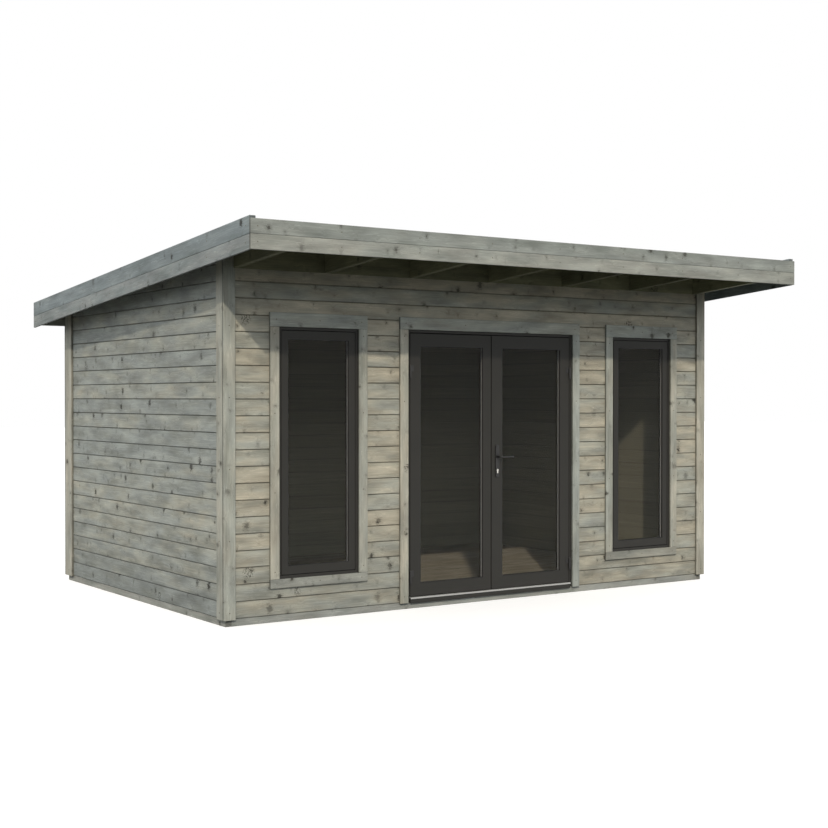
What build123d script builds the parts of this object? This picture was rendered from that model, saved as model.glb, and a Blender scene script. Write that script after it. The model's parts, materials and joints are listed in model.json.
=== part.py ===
from build123d import *
import os

# Timber garden cabin with a single-pitch roof, glazed double doors and two tall windows.
# Millimetres. +X runs right along the front, +Y to the back, +Z up. The origin lies on the
# ground under the middle of the roof. Left and right are as seen from the front.

# Base and floor
base_width = 4500
base_depth = 2992
base_height = 50
base_beam = 45
joist_width = 45
joist_count = 9
floor_thickness = 19

# Walls: panels stand on the base, and boards cover them outside
wall_panel = 45
cladding = 18
cladding_drip = 6
trim = 18
trim_drop = 5
corner_trim_width = 92
side_front_trim_width = 91
side_back_trim_width = 140

# Roof
front_overhang = 825
back_overhang = 209
side_overhang = 230
eave_height = 2476
roof_fall = 320
fascia = 18
fascia_lower_height = 98
front_fascia_upper_height = 96
side_fascia_upper_height = 116
back_fascia_height = 172
felt_set_down = 2
felt = 4
deck = 18
rafter_depth = 145
rafter_width = 45
rafter_count = 7
edge_batten_width = 28

# Doors and windows: their common middle line lies right of the cabin's
opening_shift = 16
frame_cover = 25
frame_width = 45
stop_lip = 15
opening_trim_width = 72
head_trim_drop = 329

# Windows
window_shift = 16
window_width = 647
window_bottom = 300
window_head_cover = 99
window_sill_trim = 64
sash_depth = 40
sash_gap = 4
sash_stile = 52
sash_rail = 58
pane = 20
pane_bite = 12
pane_clearance = 0.5

# Double doors
door_width = 1574
door_head_cover = 90
sill_height = 28
sill_set_back = 4
sill_drop = 9
threshold = 6
threshold_upstand = 15
threshold_nose = 12
leaf_depth = 40
leaf_gap = 6
seal_gap = 6
meeting_gap = 8
meeting_shift = 13
hinge_stile = 92
left_meeting_stile = 75
right_meeting_stile = 101
leaf_top_rail = 92
leaf_bottom_rail = 92

# Hinges
lower_hinge_rise = 144
upper_hinge_drop = 280
hinge_radius = 8
hinge_stand = 9
hinge_half_length = 45
hinge_lift = 0.3
hinge_plate = 3
hinge_plate_width = 28
frame_plate_width = 18
pin_radius = 4
pin_length = 30
pin_clearance = 0.1

# Handle and lock
handle_backset = 50
handle_plate = 8
handle_plate_width = 32
handle_plate_height = 250
handle_plate_drop = 33
lever_height = 1103
lever_reach = 42
lever_length = 122
lever_radius = 8
lever_bend = 16
lever_lift = 0.3
spindle_radius = 5
spindle_clearance = 0.1
lock_drop = 102
lock_radius = 8.5
lock_leg_width = 10
lock_leg_length = 24
lock_stand_out = 3
lock_clearance = 0.2

overrun = 20

# Faces of the layers, worked out from the centre of the roof
roof_side = base_width / 2 + side_overhang
roof_depth = base_depth + front_overhang + back_overhang
roof_front = -roof_depth / 2
roof_back = roof_depth / 2

base_side = base_width / 2
base_front = roof_front + front_overhang
base_back = roof_back - back_overhang

cladding_side = base_side + cladding_drip
cladding_front = base_front - cladding_drip
cladding_back = base_back + cladding_drip
panel_side = cladding_side - cladding
panel_front = cladding_front + cladding
panel_back = cladding_back - cladding
room_side = panel_side - wall_panel
room_front = panel_front + wall_panel
room_back = panel_back - wall_panel
trim_side = cladding_side + trim
trim_front = cladding_front - trim
trim_back = cladding_back + trim
trim_bottom = base_height - trim_drop
wall_depth = wall_panel + cladding

# Depths of the roof's layers under the felt's surface, measured straight down
under_felt = felt
under_deck = under_felt + deck
under_rafter = under_deck + rafter_depth
fascia_bottom = fascia_lower_height + front_fascia_upper_height - felt_set_down
fascia_seam = front_fascia_upper_height - felt_set_down
side_fascia_top = fascia_seam - side_fascia_upper_height
roof_inner_side = roof_side - fascia
rafter_front = roof_front + fascia
rafter_back = roof_back - fascia

# Door and window lines, measured across from their common middle line: their heads hang from
# the eaves, and each window stands about midway between the door trim and the corner trim
head_trim_top = eave_height - head_trim_drop
window_top = head_trim_top - window_head_cover
door_top = head_trim_top - door_head_cover
door_outer = door_width / 2 + opening_trim_width
window_centre = (door_outer + trim_side - corner_trim_width) / 2 + window_shift
door_rough = door_width / 2 + frame_cover
door_rough_top = door_top + frame_cover
door_clear = door_rough - frame_width
door_clear_top = door_rough_top - frame_width
sill_top = base_height + sill_height
threshold_top = sill_top + threshold
lip_front = cladding_front + leaf_depth + seal_gap
leaf_bottom = threshold_top + leaf_gap
leaf_top = door_clear_top - leaf_gap
leaf_edge = door_clear - leaf_gap
leaf_back = cladding_front + leaf_depth
left_leaf_meeting = -meeting_shift - meeting_gap / 2
right_leaf_meeting = -meeting_shift + meeting_gap / 2
hinge_heights = (leaf_bottom + lower_hinge_rise, leaf_top - upper_hinge_drop)
hinge_axis_x = door_clear - leaf_gap / 2
hinge_axis_y = cladding_front - hinge_stand
handle_x = right_leaf_meeting + handle_backset
lock_height = lever_height - lock_drop
handle_plate_centre = lever_height - handle_plate_drop
plate_front = cladding_front - handle_plate
plate_back = leaf_back + handle_plate


def roof_level(y, below):
    """Height of a roof layer at depth y, measured straight down from the felt's surface."""
    felt_front = eave_height + fascia_bottom
    return felt_front - roof_fall * (y - roof_front) / roof_depth - below


def roof_plane(below):
    """Sloping plane of a roof layer, facing up."""
    start = (0, roof_front, roof_level(roof_front, below))
    return Plane(origin=start, x_dir=(1, 0, 0), z_dir=(0, roof_fall, roof_depth))


def front_plane(y):
    """Upright plane across the cabin, facing the front."""
    return Plane.XZ.offset(-y)


def opening_plane(y):
    """Upright plane facing the front, with its origin on the doors' and windows' middle line."""
    return Plane(origin=(opening_shift, y, 0), x_dir=(1, 0, 0), z_dir=(0, -1, 0))


def opening_level(z):
    """Level plane with its origin on the doors' and windows' middle line."""
    return Plane(origin=(opening_shift, 0, z))


def side_plane(x):
    """Upright plane along the cabin's side, facing right."""
    return Plane.YZ.offset(x)


def rectangle(across, up, mode=Mode.ADD):
    """Rectangle on an upright or level plane between two pairs of limits."""
    with Locations(((across[0] + across[1]) / 2, (up[0] + up[1]) / 2)):
        Rectangle(across[1] - across[0], up[1] - up[0], mode=mode)


def roof_strip(y_span, top, bottom):
    """Sloping strip of the roof's section between two depths and two layers."""
    low, high = y_span
    Polygon(
        (low, roof_level(low, bottom)),
        (high, roof_level(high, bottom)),
        (high, roof_level(high, top)),
        (low, roof_level(low, top)),
    )


def window_hole(centre, mode):
    """Outline of a window frame on the front wall."""
    half = window_width / 2 + frame_cover
    across = (centre - half, centre + half)
    rectangle(across, (window_bottom - frame_cover, window_top + frame_cover), mode)


pieces = {}

# Base: bearers on edge round the outside, joists between them and a boarded floor
with BuildPart() as base_side_beams:
    with BuildSketch():
        for side in (-1, 1):
            edges = sorted((side * base_side, side * (base_side - base_beam)))
            rectangle(edges, (base_front, base_back))
    extrude(amount=base_height)
pieces["base_side_beams"] = base_side_beams

beam_inner_side = base_side - base_beam
with BuildPart() as base_end_beams:
    with BuildSketch():
        rectangle((-beam_inner_side, beam_inner_side), (base_front, base_front + base_beam))
        rectangle((-beam_inner_side, beam_inner_side), (base_back - base_beam, base_back))
    extrude(amount=base_height)
pieces["base_end_beams"] = base_end_beams

joist_pitch = 2 * beam_inner_side / (joist_count + 1)
joist_length = base_depth - 2 * base_beam
with BuildPart() as floor_joists:
    with BuildSketch():
        with Locations((0, (base_front + base_back) / 2)):
            with GridLocations(joist_pitch, 0, joist_count, 1):
                Rectangle(joist_width, joist_length)
    extrude(amount=base_height)
pieces["floor_joists"] = floor_joists

with BuildPart() as floor_deck:
    with BuildSketch(Plane.XY.offset(base_height)):
        rectangle((-room_side, room_side), (room_front, room_back))
    extrude(amount=floor_thickness)
pieces["floor_deck"] = floor_deck

# Front wall: a panel each side of the doors, with a window in it, and one over the doors
front_top = roof_level(room_front, under_rafter) + overrun
for name, side in (("front_wall_left", -1), ("front_wall_right", 1)):
    with BuildPart() as front_wall:
        with BuildSketch(opening_plane(room_front)):
            edges = sorted((side * room_side - opening_shift, side * door_rough))
            rectangle(edges, (base_height, front_top + overrun))
            window_hole(side * window_centre, Mode.SUBTRACT)
        extrude(amount=wall_panel)
        split(bisect_by=roof_plane(under_rafter), keep=Keep.BOTTOM)
    pieces[name] = front_wall

with BuildPart() as front_wall_over_door:
    with BuildSketch(opening_plane(room_front)):
        rectangle((-door_rough, door_rough), (door_rough_top, front_top + overrun))
    extrude(amount=wall_panel)
    split(bisect_by=roof_plane(under_rafter), keep=Keep.BOTTOM)
pieces["front_wall_over_door"] = front_wall_over_door

for name, side in (("front_cladding_left", -1), ("front_cladding_right", 1)):
    with BuildPart() as front_cladding:
        with BuildSketch(opening_plane(panel_front)):
            edges = sorted((side * panel_side - opening_shift, side * door_rough))
            rectangle(edges, (base_height, front_top + overrun))
            window_hole(side * window_centre, Mode.SUBTRACT)
        extrude(amount=cladding)
        split(bisect_by=roof_plane(under_rafter), keep=Keep.BOTTOM)
    pieces[name] = front_cladding

with BuildPart() as front_cladding_over_door:
    with BuildSketch(opening_plane(panel_front)):
        rectangle((-door_rough, door_rough), (door_rough_top, front_top + overrun))
    extrude(amount=cladding)
    split(bisect_by=roof_plane(under_rafter), keep=Keep.BOTTOM)
pieces["front_cladding_over_door"] = front_cladding_over_door

# Back wall: one plain panel and its boards
with BuildPart() as back_wall:
    with BuildSketch(front_plane(panel_back)):
        rectangle((-room_side, room_side), (base_height, front_top))
    extrude(amount=wall_panel)
    split(bisect_by=roof_plane(under_rafter), keep=Keep.BOTTOM)
pieces["back_wall"] = back_wall

with BuildPart() as back_cladding:
    with BuildSketch(front_plane(cladding_back)):
        rectangle((-panel_side, panel_side), (base_height, front_top))
    extrude(amount=cladding)
    split(bisect_by=roof_plane(under_rafter), keep=Keep.BOTTOM)
pieces["back_cladding"] = back_cladding

# Side walls: sloping tops that reach the roof boards outside the end rafters
for name, face in (("left_wall", -panel_side), ("right_wall", room_side)):
    with BuildPart() as side_wall:
        with BuildSketch(side_plane(face)):
            Polygon(
                (panel_front, base_height),
                (panel_back, base_height),
                (panel_back, roof_level(panel_back, under_deck)),
                (panel_front, roof_level(panel_front, under_deck)),
            )
        extrude(amount=wall_panel)
    pieces[name] = side_wall

for name, face in (("left_cladding", -cladding_side), ("right_cladding", panel_side)):
    with BuildPart() as side_cladding:
        with BuildSketch(side_plane(face)):
            Polygon(
                (cladding_front, base_height),
                (cladding_back, base_height),
                (cladding_back, roof_level(cladding_back, under_deck)),
                (cladding_front, roof_level(cladding_front, under_deck)),
            )
        extrude(amount=cladding)
    pieces[name] = side_cladding

# Corner trims: the boards on the front and back cover the edges of those on the sides,
# and are notched round the end rafters
corner_top = roof_level(trim_front, under_deck) + overrun
for name, face in (("front_corner_trims", cladding_front), ("back_corner_trims", trim_back)):
    with BuildPart() as corner_trims:
        with BuildSketch(front_plane(face)):
            for side in (-1, 1):
                inner_edge = side * (trim_side - corner_trim_width)
                rectangle(sorted((side * trim_side, inner_edge)), (trim_bottom, corner_top))
                notch = sorted((side * room_side, inner_edge))
                rectangle(notch, (roof_level(face, under_rafter), corner_top), Mode.SUBTRACT)
        extrude(amount=trim)
        split(bisect_by=roof_plane(under_deck), keep=Keep.BOTTOM)
    pieces[name] = corner_trims

with BuildPart() as side_corner_trims:
    for face in (-trim_side, cladding_side):
        with BuildSketch(side_plane(face)):
            rectangle((cladding_front, cladding_front + side_front_trim_width), (trim_bottom, corner_top))
            rectangle((cladding_back - side_back_trim_width, cladding_back), (trim_bottom, corner_top))
        extrude(amount=trim)
    split(bisect_by=roof_plane(under_deck), keep=Keep.BOTTOM)
pieces["side_corner_trims"] = side_corner_trims

# Window trims: side boards between a head board and a sill board
window_edge = window_width / 2
window_outer = window_edge + opening_trim_width
with BuildPart() as window_side_trims:
    with BuildSketch(opening_plane(cladding_front)):
        for centre in (-window_centre, window_centre):
            for side in (-1, 1):
                edges = sorted((centre + side * window_edge, centre + side * window_outer))
                rectangle(edges, (window_bottom, window_top))
    extrude(amount=trim)
pieces["window_side_trims"] = window_side_trims

for name, levels in (
    ("window_head_trims", (window_top, head_trim_top)),
    ("window_sill_trims", (window_bottom - window_sill_trim, window_bottom)),
):
    with BuildPart() as window_cross_trims:
        with BuildSketch(opening_plane(cladding_front)):
            for centre in (-window_centre, window_centre):
                rectangle((centre - window_outer, centre + window_outer), levels)
        extrude(amount=trim)
    pieces[name] = window_cross_trims

# Windows: a frame with a stop lip inside, a sash against the lip and a pane held in the sash
frame_inner = window_edge + frame_cover - frame_width
frame_levels = (window_bottom - frame_cover + frame_width, window_top + frame_cover - frame_width)
with BuildPart() as window_frames:
    with BuildSketch(opening_plane(room_front)):
        for centre in (-window_centre, window_centre):
            window_hole(centre, Mode.ADD)
            rectangle(
                (centre - frame_inner + stop_lip, centre + frame_inner - stop_lip),
                (frame_levels[0] + stop_lip, frame_levels[1] - stop_lip),
                Mode.SUBTRACT,
            )
    extrude(amount=wall_depth)
    with BuildSketch(opening_plane(cladding_front + sash_depth)):
        for centre in (-window_centre, window_centre):
            rectangle((centre - frame_inner, centre + frame_inner), frame_levels)
    extrude(amount=sash_depth + overrun, mode=Mode.SUBTRACT)
pieces["window_frames"] = window_frames

sash_outer = frame_inner - sash_gap
sash_levels = (frame_levels[0] + sash_gap, frame_levels[1] - sash_gap)
light = sash_outer - sash_stile
light_levels = (sash_levels[0] + sash_rail, sash_levels[1] - sash_rail)
pane_back = cladding_front + (sash_depth + pane) / 2
with BuildPart() as window_sashes:
    with BuildSketch(opening_plane(cladding_front + sash_depth)):
        for centre in (-window_centre, window_centre):
            rectangle((centre - sash_outer, centre + sash_outer), sash_levels)
            rectangle((centre - light, centre + light), light_levels, Mode.SUBTRACT)
    extrude(amount=sash_depth)
    with BuildSketch(opening_plane(pane_back)):
        for centre in (-window_centre, window_centre):
            rectangle(
                (centre - light - pane_bite, centre + light + pane_bite),
                (light_levels[0] - pane_bite, light_levels[1] + pane_bite),
            )
    extrude(amount=pane, mode=Mode.SUBTRACT)
pieces["window_sashes"] = window_sashes

pane_lap = pane_bite - pane_clearance
with BuildPart() as window_panes:
    with BuildSketch(opening_plane(pane_back)):
        for centre in (-window_centre, window_centre):
            rectangle(
                (centre - light - pane_lap, centre + light + pane_lap),
                (light_levels[0] - pane_lap, light_levels[1] + pane_lap),
            )
    extrude(amount=pane)
pieces["window_panes"] = window_panes

# Door trims and frame: jambs and head with a stop lip, a sill that laps down over the base and
# a metal threshold with a nose over the sill's front
door_edge = door_width / 2
with BuildPart() as door_side_trims:
    with BuildSketch(opening_plane(cladding_front)):
        for side in (-1, 1):
            edges = sorted((side * door_edge, side * door_outer))
            rectangle(edges, (trim_bottom, door_top))
    extrude(amount=trim)
pieces["door_side_trims"] = door_side_trims

with BuildPart() as door_head_trim:
    with BuildSketch(opening_plane(cladding_front)):
        rectangle((-door_outer, door_outer), (door_top, head_trim_top))
    extrude(amount=trim)
pieces["door_head_trim"] = door_head_trim

lip_depth = room_front - lip_front
door_lip = door_clear - stop_lip
with BuildPart() as door_jambs:
    with BuildSketch(opening_plane(room_front)):
        for side in (-1, 1):
            rectangle(sorted((side * door_clear, side * door_rough)), (base_height, door_rough_top))
    extrude(amount=wall_depth)
    with BuildSketch(opening_plane(room_front)):
        for side in (-1, 1):
            rectangle(sorted((side * door_lip, side * door_clear)), (sill_top, door_clear_top))
    extrude(amount=lip_depth)
pieces["door_jambs"] = door_jambs

with BuildPart() as door_head:
    with BuildSketch(opening_plane(room_front)):
        rectangle((-door_clear, door_clear), (door_clear_top, door_rough_top))
    extrude(amount=wall_depth)
    with BuildSketch(opening_plane(room_front)):
        rectangle((-door_lip, door_lip), (door_clear_top - stop_lip, door_clear_top))
    extrude(amount=lip_depth)
pieces["door_head"] = door_head

sill_front = trim_front + sill_set_back
with BuildPart() as door_sill:
    with BuildSketch(opening_level(base_height)):
        rectangle((-door_clear, door_clear), (sill_front, room_front))
    extrude(amount=sill_height)
    with BuildSketch(opening_level(base_height)):
        rectangle((-door_clear, door_clear), (sill_front, base_front))
    extrude(amount=-sill_drop)
pieces["door_sill"] = door_sill

with BuildPart() as door_threshold:
    with BuildSketch(opening_level(sill_top)):
        rectangle((-door_clear, door_clear), (trim_front, lip_front))
    extrude(amount=threshold)
    with BuildSketch(opening_level(sill_top)):
        rectangle((-door_lip, door_lip), (lip_front, room_front))
    extrude(amount=threshold + threshold_upstand)
    with BuildSketch(opening_level(sill_top)):
        rectangle((-door_clear, door_clear), (trim_front, sill_front))
    extrude(amount=-threshold_nose)
pieces["door_threshold"] = door_threshold

# Door leaves: stiles and rails round a pane that is held in a groove
glass_bottom = leaf_bottom + leaf_bottom_rail
glass_top = leaf_top - leaf_top_rail
glass_back = cladding_front + (leaf_depth + pane) / 2
left_glass = (-leaf_edge + hinge_stile, left_leaf_meeting - left_meeting_stile)
right_glass = (right_leaf_meeting + right_meeting_stile, leaf_edge - hinge_stile)
leaves = (
    ("left_leaf", (-leaf_edge, left_leaf_meeting), left_glass),
    ("right_leaf", (right_leaf_meeting, leaf_edge), right_glass),
)
lock_levels = (lock_height - lock_leg_length, lock_height)
for name, edges, glass in leaves:
    with BuildPart() as leaf:
        with BuildSketch(opening_plane(leaf_back)):
            rectangle(edges, (leaf_bottom, leaf_top))
            rectangle(glass, (glass_bottom, glass_top), Mode.SUBTRACT)
        extrude(amount=leaf_depth)
        with BuildSketch(opening_plane(glass_back)):
            rectangle(
                (glass[0] - pane_bite, glass[1] + pane_bite),
                (glass_bottom - pane_bite, glass_top + pane_bite),
            )
        extrude(amount=pane, mode=Mode.SUBTRACT)
        if name == "right_leaf":
            with BuildSketch(opening_plane(leaf_back)):
                with Locations((handle_x, lever_height)):
                    Circle(spindle_radius + spindle_clearance)
                with Locations((handle_x, lock_height)):
                    Circle(lock_radius + lock_clearance)
                half_leg = lock_leg_width / 2 + lock_clearance
                rectangle((handle_x - half_leg, handle_x + half_leg), lock_levels)
            extrude(amount=leaf_depth, mode=Mode.SUBTRACT)
    pieces[name] = leaf
    with BuildPart() as leaf_glass:
        with BuildSketch(opening_plane(glass_back)):
            rectangle(
                (glass[0] - pane_lap, glass[1] + pane_lap),
                (glass_bottom - pane_lap, glass_top + pane_lap),
            )
        extrude(amount=pane)
    pieces[name + "_glass"] = leaf_glass

# Lift-off hinges: the lower knuckle and its pin stay on the frame, the upper one lifts with the leaf
frame_plate = (door_clear, door_clear + frame_plate_width)
with BuildPart() as frame_hinges:
    for height in hinge_heights:
        with BuildSketch(opening_level(height - hinge_half_length)):
            for side in (-1, 1):
                with Locations((side * hinge_axis_x, hinge_axis_y)):
                    Circle(hinge_radius)
                plate = sorted((side * frame_plate[0], side * frame_plate[1]))
                rectangle(plate, (cladding_front - hinge_plate, cladding_front))
        extrude(amount=hinge_half_length)
        with BuildSketch(opening_level(height)):
            with Locations((-hinge_axis_x, hinge_axis_y), (hinge_axis_x, hinge_axis_y)):
                Circle(pin_radius)
        extrude(amount=pin_length)
pieces["frame_hinges"] = frame_hinges

leaf_plate = (leaf_edge - hinge_plate_width, leaf_edge)
for name, side in (("left_leaf_hinges", -1), ("right_leaf_hinges", 1)):
    with BuildPart() as leaf_hinges:
        for height in hinge_heights:
            with BuildSketch(opening_level(height + hinge_lift)):
                with Locations((side * hinge_axis_x, hinge_axis_y)):
                    Circle(hinge_radius)
                plate = sorted((side * leaf_plate[0], side * leaf_plate[1]))
                rectangle(plate, (cladding_front - hinge_plate, cladding_front))
            extrude(amount=hinge_half_length)
            with BuildSketch(opening_level(height + hinge_lift)):
                with Locations((side * hinge_axis_x, hinge_axis_y)):
                    Circle(pin_radius + pin_clearance)
            extrude(amount=pin_length, mode=Mode.SUBTRACT)
    pieces[name] = leaf_hinges

# Handle plates on both faces of the right leaf, a profile cylinder and a lever on each side
plate_levels = (
    handle_plate_centre - handle_plate_height / 2,
    handle_plate_centre + handle_plate_height / 2,
)
with BuildPart() as handle_plates:
    for face in (cladding_front, plate_back):
        with BuildSketch(opening_plane(face)):
            with Locations((handle_x, handle_plate_centre)):
                SlotOverall(handle_plate_height, handle_plate_width, rotation=90)
            with Locations((handle_x, lever_height)):
                Circle(spindle_radius + spindle_clearance, mode=Mode.SUBTRACT)
            with Locations((handle_x, lock_height)):
                Circle(lock_radius + lock_clearance, mode=Mode.SUBTRACT)
            half_leg = lock_leg_width / 2 + lock_clearance
            rectangle((handle_x - half_leg, handle_x + half_leg), lock_levels, Mode.SUBTRACT)
        extrude(amount=handle_plate)
pieces["handle_plates"] = handle_plates

lock_length = leaf_depth + 2 * (handle_plate + lock_stand_out)
with BuildPart() as lock_cylinder:
    with BuildSketch(opening_plane(plate_back + lock_stand_out)):
        with Locations((handle_x, lock_height)):
            Circle(lock_radius)
        rectangle((handle_x - lock_leg_width / 2, handle_x + lock_leg_width / 2), lock_levels)
    extrude(amount=lock_length)
pieces["lock_cylinder"] = lock_cylinder

lever_x = opening_shift + handle_x
lever_outer = plate_front - lever_reach
lever_inner = plate_back + lever_reach
with BuildPart() as lever_handles:
    for start, bend in ((plate_front - lever_lift, lever_outer), (plate_back + lever_lift, lever_inner)):
        with BuildLine() as grip_line:
            FilletPolyline(
                (lever_x, start, lever_height),
                (lever_x, bend, lever_height),
                (lever_x + lever_length, bend, lever_height),
                radius=lever_bend,
            )
        with BuildSketch(Plane(origin=grip_line.line @ 0, z_dir=grip_line.line % 0)):
            Circle(lever_radius)
        sweep(path=grip_line.line)
    with BuildSketch(opening_plane(plate_back + lever_lift)):
        with Locations((handle_x, lever_height)):
            Circle(spindle_radius)
    extrude(amount=plate_back - plate_front + 2 * lever_lift)
pieces["lever_handles"] = lever_handles

# Roof frame: rafters from front to back, with blocks between them over the front and back walls
rafter_reach = room_side - rafter_width / 2
rafter_pitch = 2 * rafter_reach / (rafter_count - 1)
bay = rafter_pitch - rafter_width
with BuildPart() as rafters:
    for number in range(rafter_count):
        with BuildSketch(side_plane(number * rafter_pitch - room_side)):
            roof_strip((rafter_front, rafter_back), under_deck, under_rafter)
        extrude(amount=rafter_width)
pieces["rafters"] = rafters

with BuildPart() as eave_blocks:
    for number in range(rafter_count - 1):
        with BuildSketch(side_plane(number * rafter_pitch - room_side + rafter_width)):
            roof_strip((cladding_front, room_front), under_deck, under_rafter)
            roof_strip((room_back, cladding_back), under_deck, under_rafter)
        extrude(amount=bay)
pieces["eave_blocks"] = eave_blocks

# Roof covering: boards across the rafters, edge battens along the sides and felt between them
with BuildPart() as roof_deck:
    with BuildSketch(side_plane(-roof_inner_side)):
        roof_strip((rafter_front, roof_back), under_felt, under_deck)
    extrude(amount=2 * roof_inner_side)
pieces["roof_deck"] = roof_deck

felt_side = roof_inner_side - edge_batten_width
with BuildPart() as roof_edge_battens:
    for face in (-roof_inner_side, felt_side):
        with BuildSketch(side_plane(face)):
            roof_strip((rafter_front, roof_back), side_fascia_top, under_felt)
        extrude(amount=edge_batten_width)
pieces["roof_edge_battens"] = roof_edge_battens

with BuildPart() as roof_felt:
    with BuildSketch(side_plane(-felt_side)):
        roof_strip((rafter_front, roof_back), 0, under_felt)
    extrude(amount=2 * felt_side)
pieces["roof_felt"] = roof_felt

# Fascias: two boards one over the other, the front ones across the ends of the side ones
fascia_seam_height = eave_height + fascia_lower_height
front_levels = {
    "front_fascia_lower": (eave_height, fascia_seam_height),
    "front_fascia_upper": (fascia_seam_height, fascia_seam_height + front_fascia_upper_height),
}
for name, levels in front_levels.items():
    with BuildPart() as front_fascia:
        with BuildSketch(front_plane(rafter_front)):
            rectangle((-roof_side, roof_side), levels)
        extrude(amount=fascia)
    pieces[name] = front_fascia

side_layers = {
    "side_fascias_lower": (fascia_seam, fascia_bottom),
    "side_fascias_upper": (side_fascia_top, fascia_seam),
}
for name, layers in side_layers.items():
    with BuildPart() as side_fascias:
        for face in (-roof_side, roof_inner_side):
            with BuildSketch(side_plane(face)):
                roof_strip((rafter_front, roof_back), layers[0], layers[1])
            extrude(amount=fascia)
    pieces[name] = side_fascias

with BuildPart() as back_fascia:
    with BuildSketch(side_plane(-roof_inner_side)):
        roof_strip((rafter_back, roof_back), under_deck, back_fascia_height)
    extrude(amount=2 * roof_inner_side)
pieces["back_fascia"] = back_fascia

os.makedirs("parts", exist_ok=True)
for name, piece in pieces.items():
    piece.part.label = name
    export_step(piece.part, f"parts/{name}.step")
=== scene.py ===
# Looks of a timber garden cabin with a single-pitch roof, glazed double doors and two tall windows.
# Metres, in the CAD model's frame: +X right along the front, +Y to the back, +Z up.
import json
import math
import random

import bmesh
import bpy
from mathutils import Matrix, Vector
from mathutils.bvhtree import BVHTree


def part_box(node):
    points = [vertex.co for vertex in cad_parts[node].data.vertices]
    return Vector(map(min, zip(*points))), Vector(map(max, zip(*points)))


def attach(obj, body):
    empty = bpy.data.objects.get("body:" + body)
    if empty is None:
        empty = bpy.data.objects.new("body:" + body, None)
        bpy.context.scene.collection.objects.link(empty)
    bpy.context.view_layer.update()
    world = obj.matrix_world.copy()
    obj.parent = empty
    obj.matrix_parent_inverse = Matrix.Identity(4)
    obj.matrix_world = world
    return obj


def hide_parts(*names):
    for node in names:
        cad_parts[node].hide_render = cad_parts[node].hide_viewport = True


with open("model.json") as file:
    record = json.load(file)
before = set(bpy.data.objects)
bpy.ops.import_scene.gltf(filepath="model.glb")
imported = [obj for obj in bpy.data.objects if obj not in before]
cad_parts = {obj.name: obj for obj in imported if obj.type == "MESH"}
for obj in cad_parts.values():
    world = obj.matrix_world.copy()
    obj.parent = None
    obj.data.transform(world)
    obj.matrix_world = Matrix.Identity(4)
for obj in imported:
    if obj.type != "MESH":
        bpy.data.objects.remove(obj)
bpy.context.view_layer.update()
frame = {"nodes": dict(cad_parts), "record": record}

# Camera
# It stands at eye height off the left front corner, and looks across the front and slightly down
# with a short telephoto lens.
camera_data = bpy.data.cameras.new("camera")
camera_data.sensor_width = 36
camera_data.lens = 60.78
camera = bpy.data.objects.new("camera", camera_data)
camera.location = (-6.4724, -9.7466, 1.558)
camera.rotation_euler = (math.radians(89.324), 0, math.radians(-33.965))
bpy.context.scene.collection.objects.link(camera)
bpy.context.scene.camera = camera
bpy.context.scene.view_settings.view_transform = "Standard"


# Studio
# A plain pale floor under one warm, low lamp from the front left and a pale surround that is
# dimmer overhead and at its rim. Rays that are seen, straight or in glass, find white.
def linear(code):
    """Linear colour of an sRGB hex code."""
    values = [int(code[place:place + 2], 16) / 255 for place in (1, 3, 5)]
    return [v / 12.92 if v <= 0.04045 else ((v + 0.055) / 1.055) ** 2.4 for v in values] + [1.0]


def add(tree, kind, links=None, **settings):
    """Adds a node with its settings, and gives each named input a value or a link."""
    made = tree.nodes.new(kind)
    for name, value in settings.items():
        setattr(made, name, value)
    for name, value in (links or {}).items():
        if isinstance(value, bpy.types.NodeSocket):
            tree.links.new(value, made.inputs[name])
        else:
            made.inputs[name].default_value = value
    return made


def seen_rays(tree):
    """Factor that is 1 for rays that a viewer sees, straight or through gloss and glass."""
    path = add(tree, "ShaderNodeLightPath").outputs
    mirrored = {0: path["Is Camera Ray"], 1: path["Is Glossy Ray"]}
    mirrored = add(tree, "ShaderNodeMath", mirrored, operation="MAXIMUM").outputs[0]
    through = {0: mirrored, 1: path["Is Transmission Ray"]}
    return add(tree, "ShaderNodeMath", through, operation="MAXIMUM").outputs[0]


glow_height = 0.24
surround = bpy.data.worlds.new("pale_surround")
surround.use_nodes = True
dome_tree = surround.node_tree
dome_tree.nodes.clear()
toward = add(dome_tree, "ShaderNodeTexCoord").outputs["Object"]
height = add(dome_tree, "ShaderNodeSeparateXYZ", {0: toward}).outputs["Z"]
dome = add(dome_tree, "ShaderNodeValToRGB", {0: height})
dome.color_ramp.elements.new(glow_height)
for stop, code in zip(dome.color_ramp.elements, ("#8B8E90", "#F0F1F2", "#B8BABE")):
    stop.color = linear(code)
dome = add(dome_tree, "ShaderNodeBackground", {"Color": dome.outputs[0], "Strength": 1.62}).outputs[0]
white = add(dome_tree, "ShaderNodeBackground", {"Color": linear("#FFFFFF"), "Strength": 1.0}).outputs[0]
shown = add(dome_tree, "ShaderNodeMixShader", {0: seen_rays(dome_tree), 1: dome, 2: white}).outputs[0]
add(dome_tree, "ShaderNodeOutputWorld", {"Surface": shown})
bpy.context.scene.world = surround

to_lamp = Vector((-0.46, -0.708, 0.535))
lamp_data = bpy.data.lights.new("lamp", "SUN")
lamp_data.energy = 1.75
lamp_data.angle = math.radians(1.5)
lamp_data.color = linear("#FFF1DD")[:3]
lamp = bpy.data.objects.new("lamp", lamp_data)
lamp.rotation_euler = to_lamp.to_track_quat("Z", "Y").to_euler()
bpy.context.scene.collection.objects.link(lamp)

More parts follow.
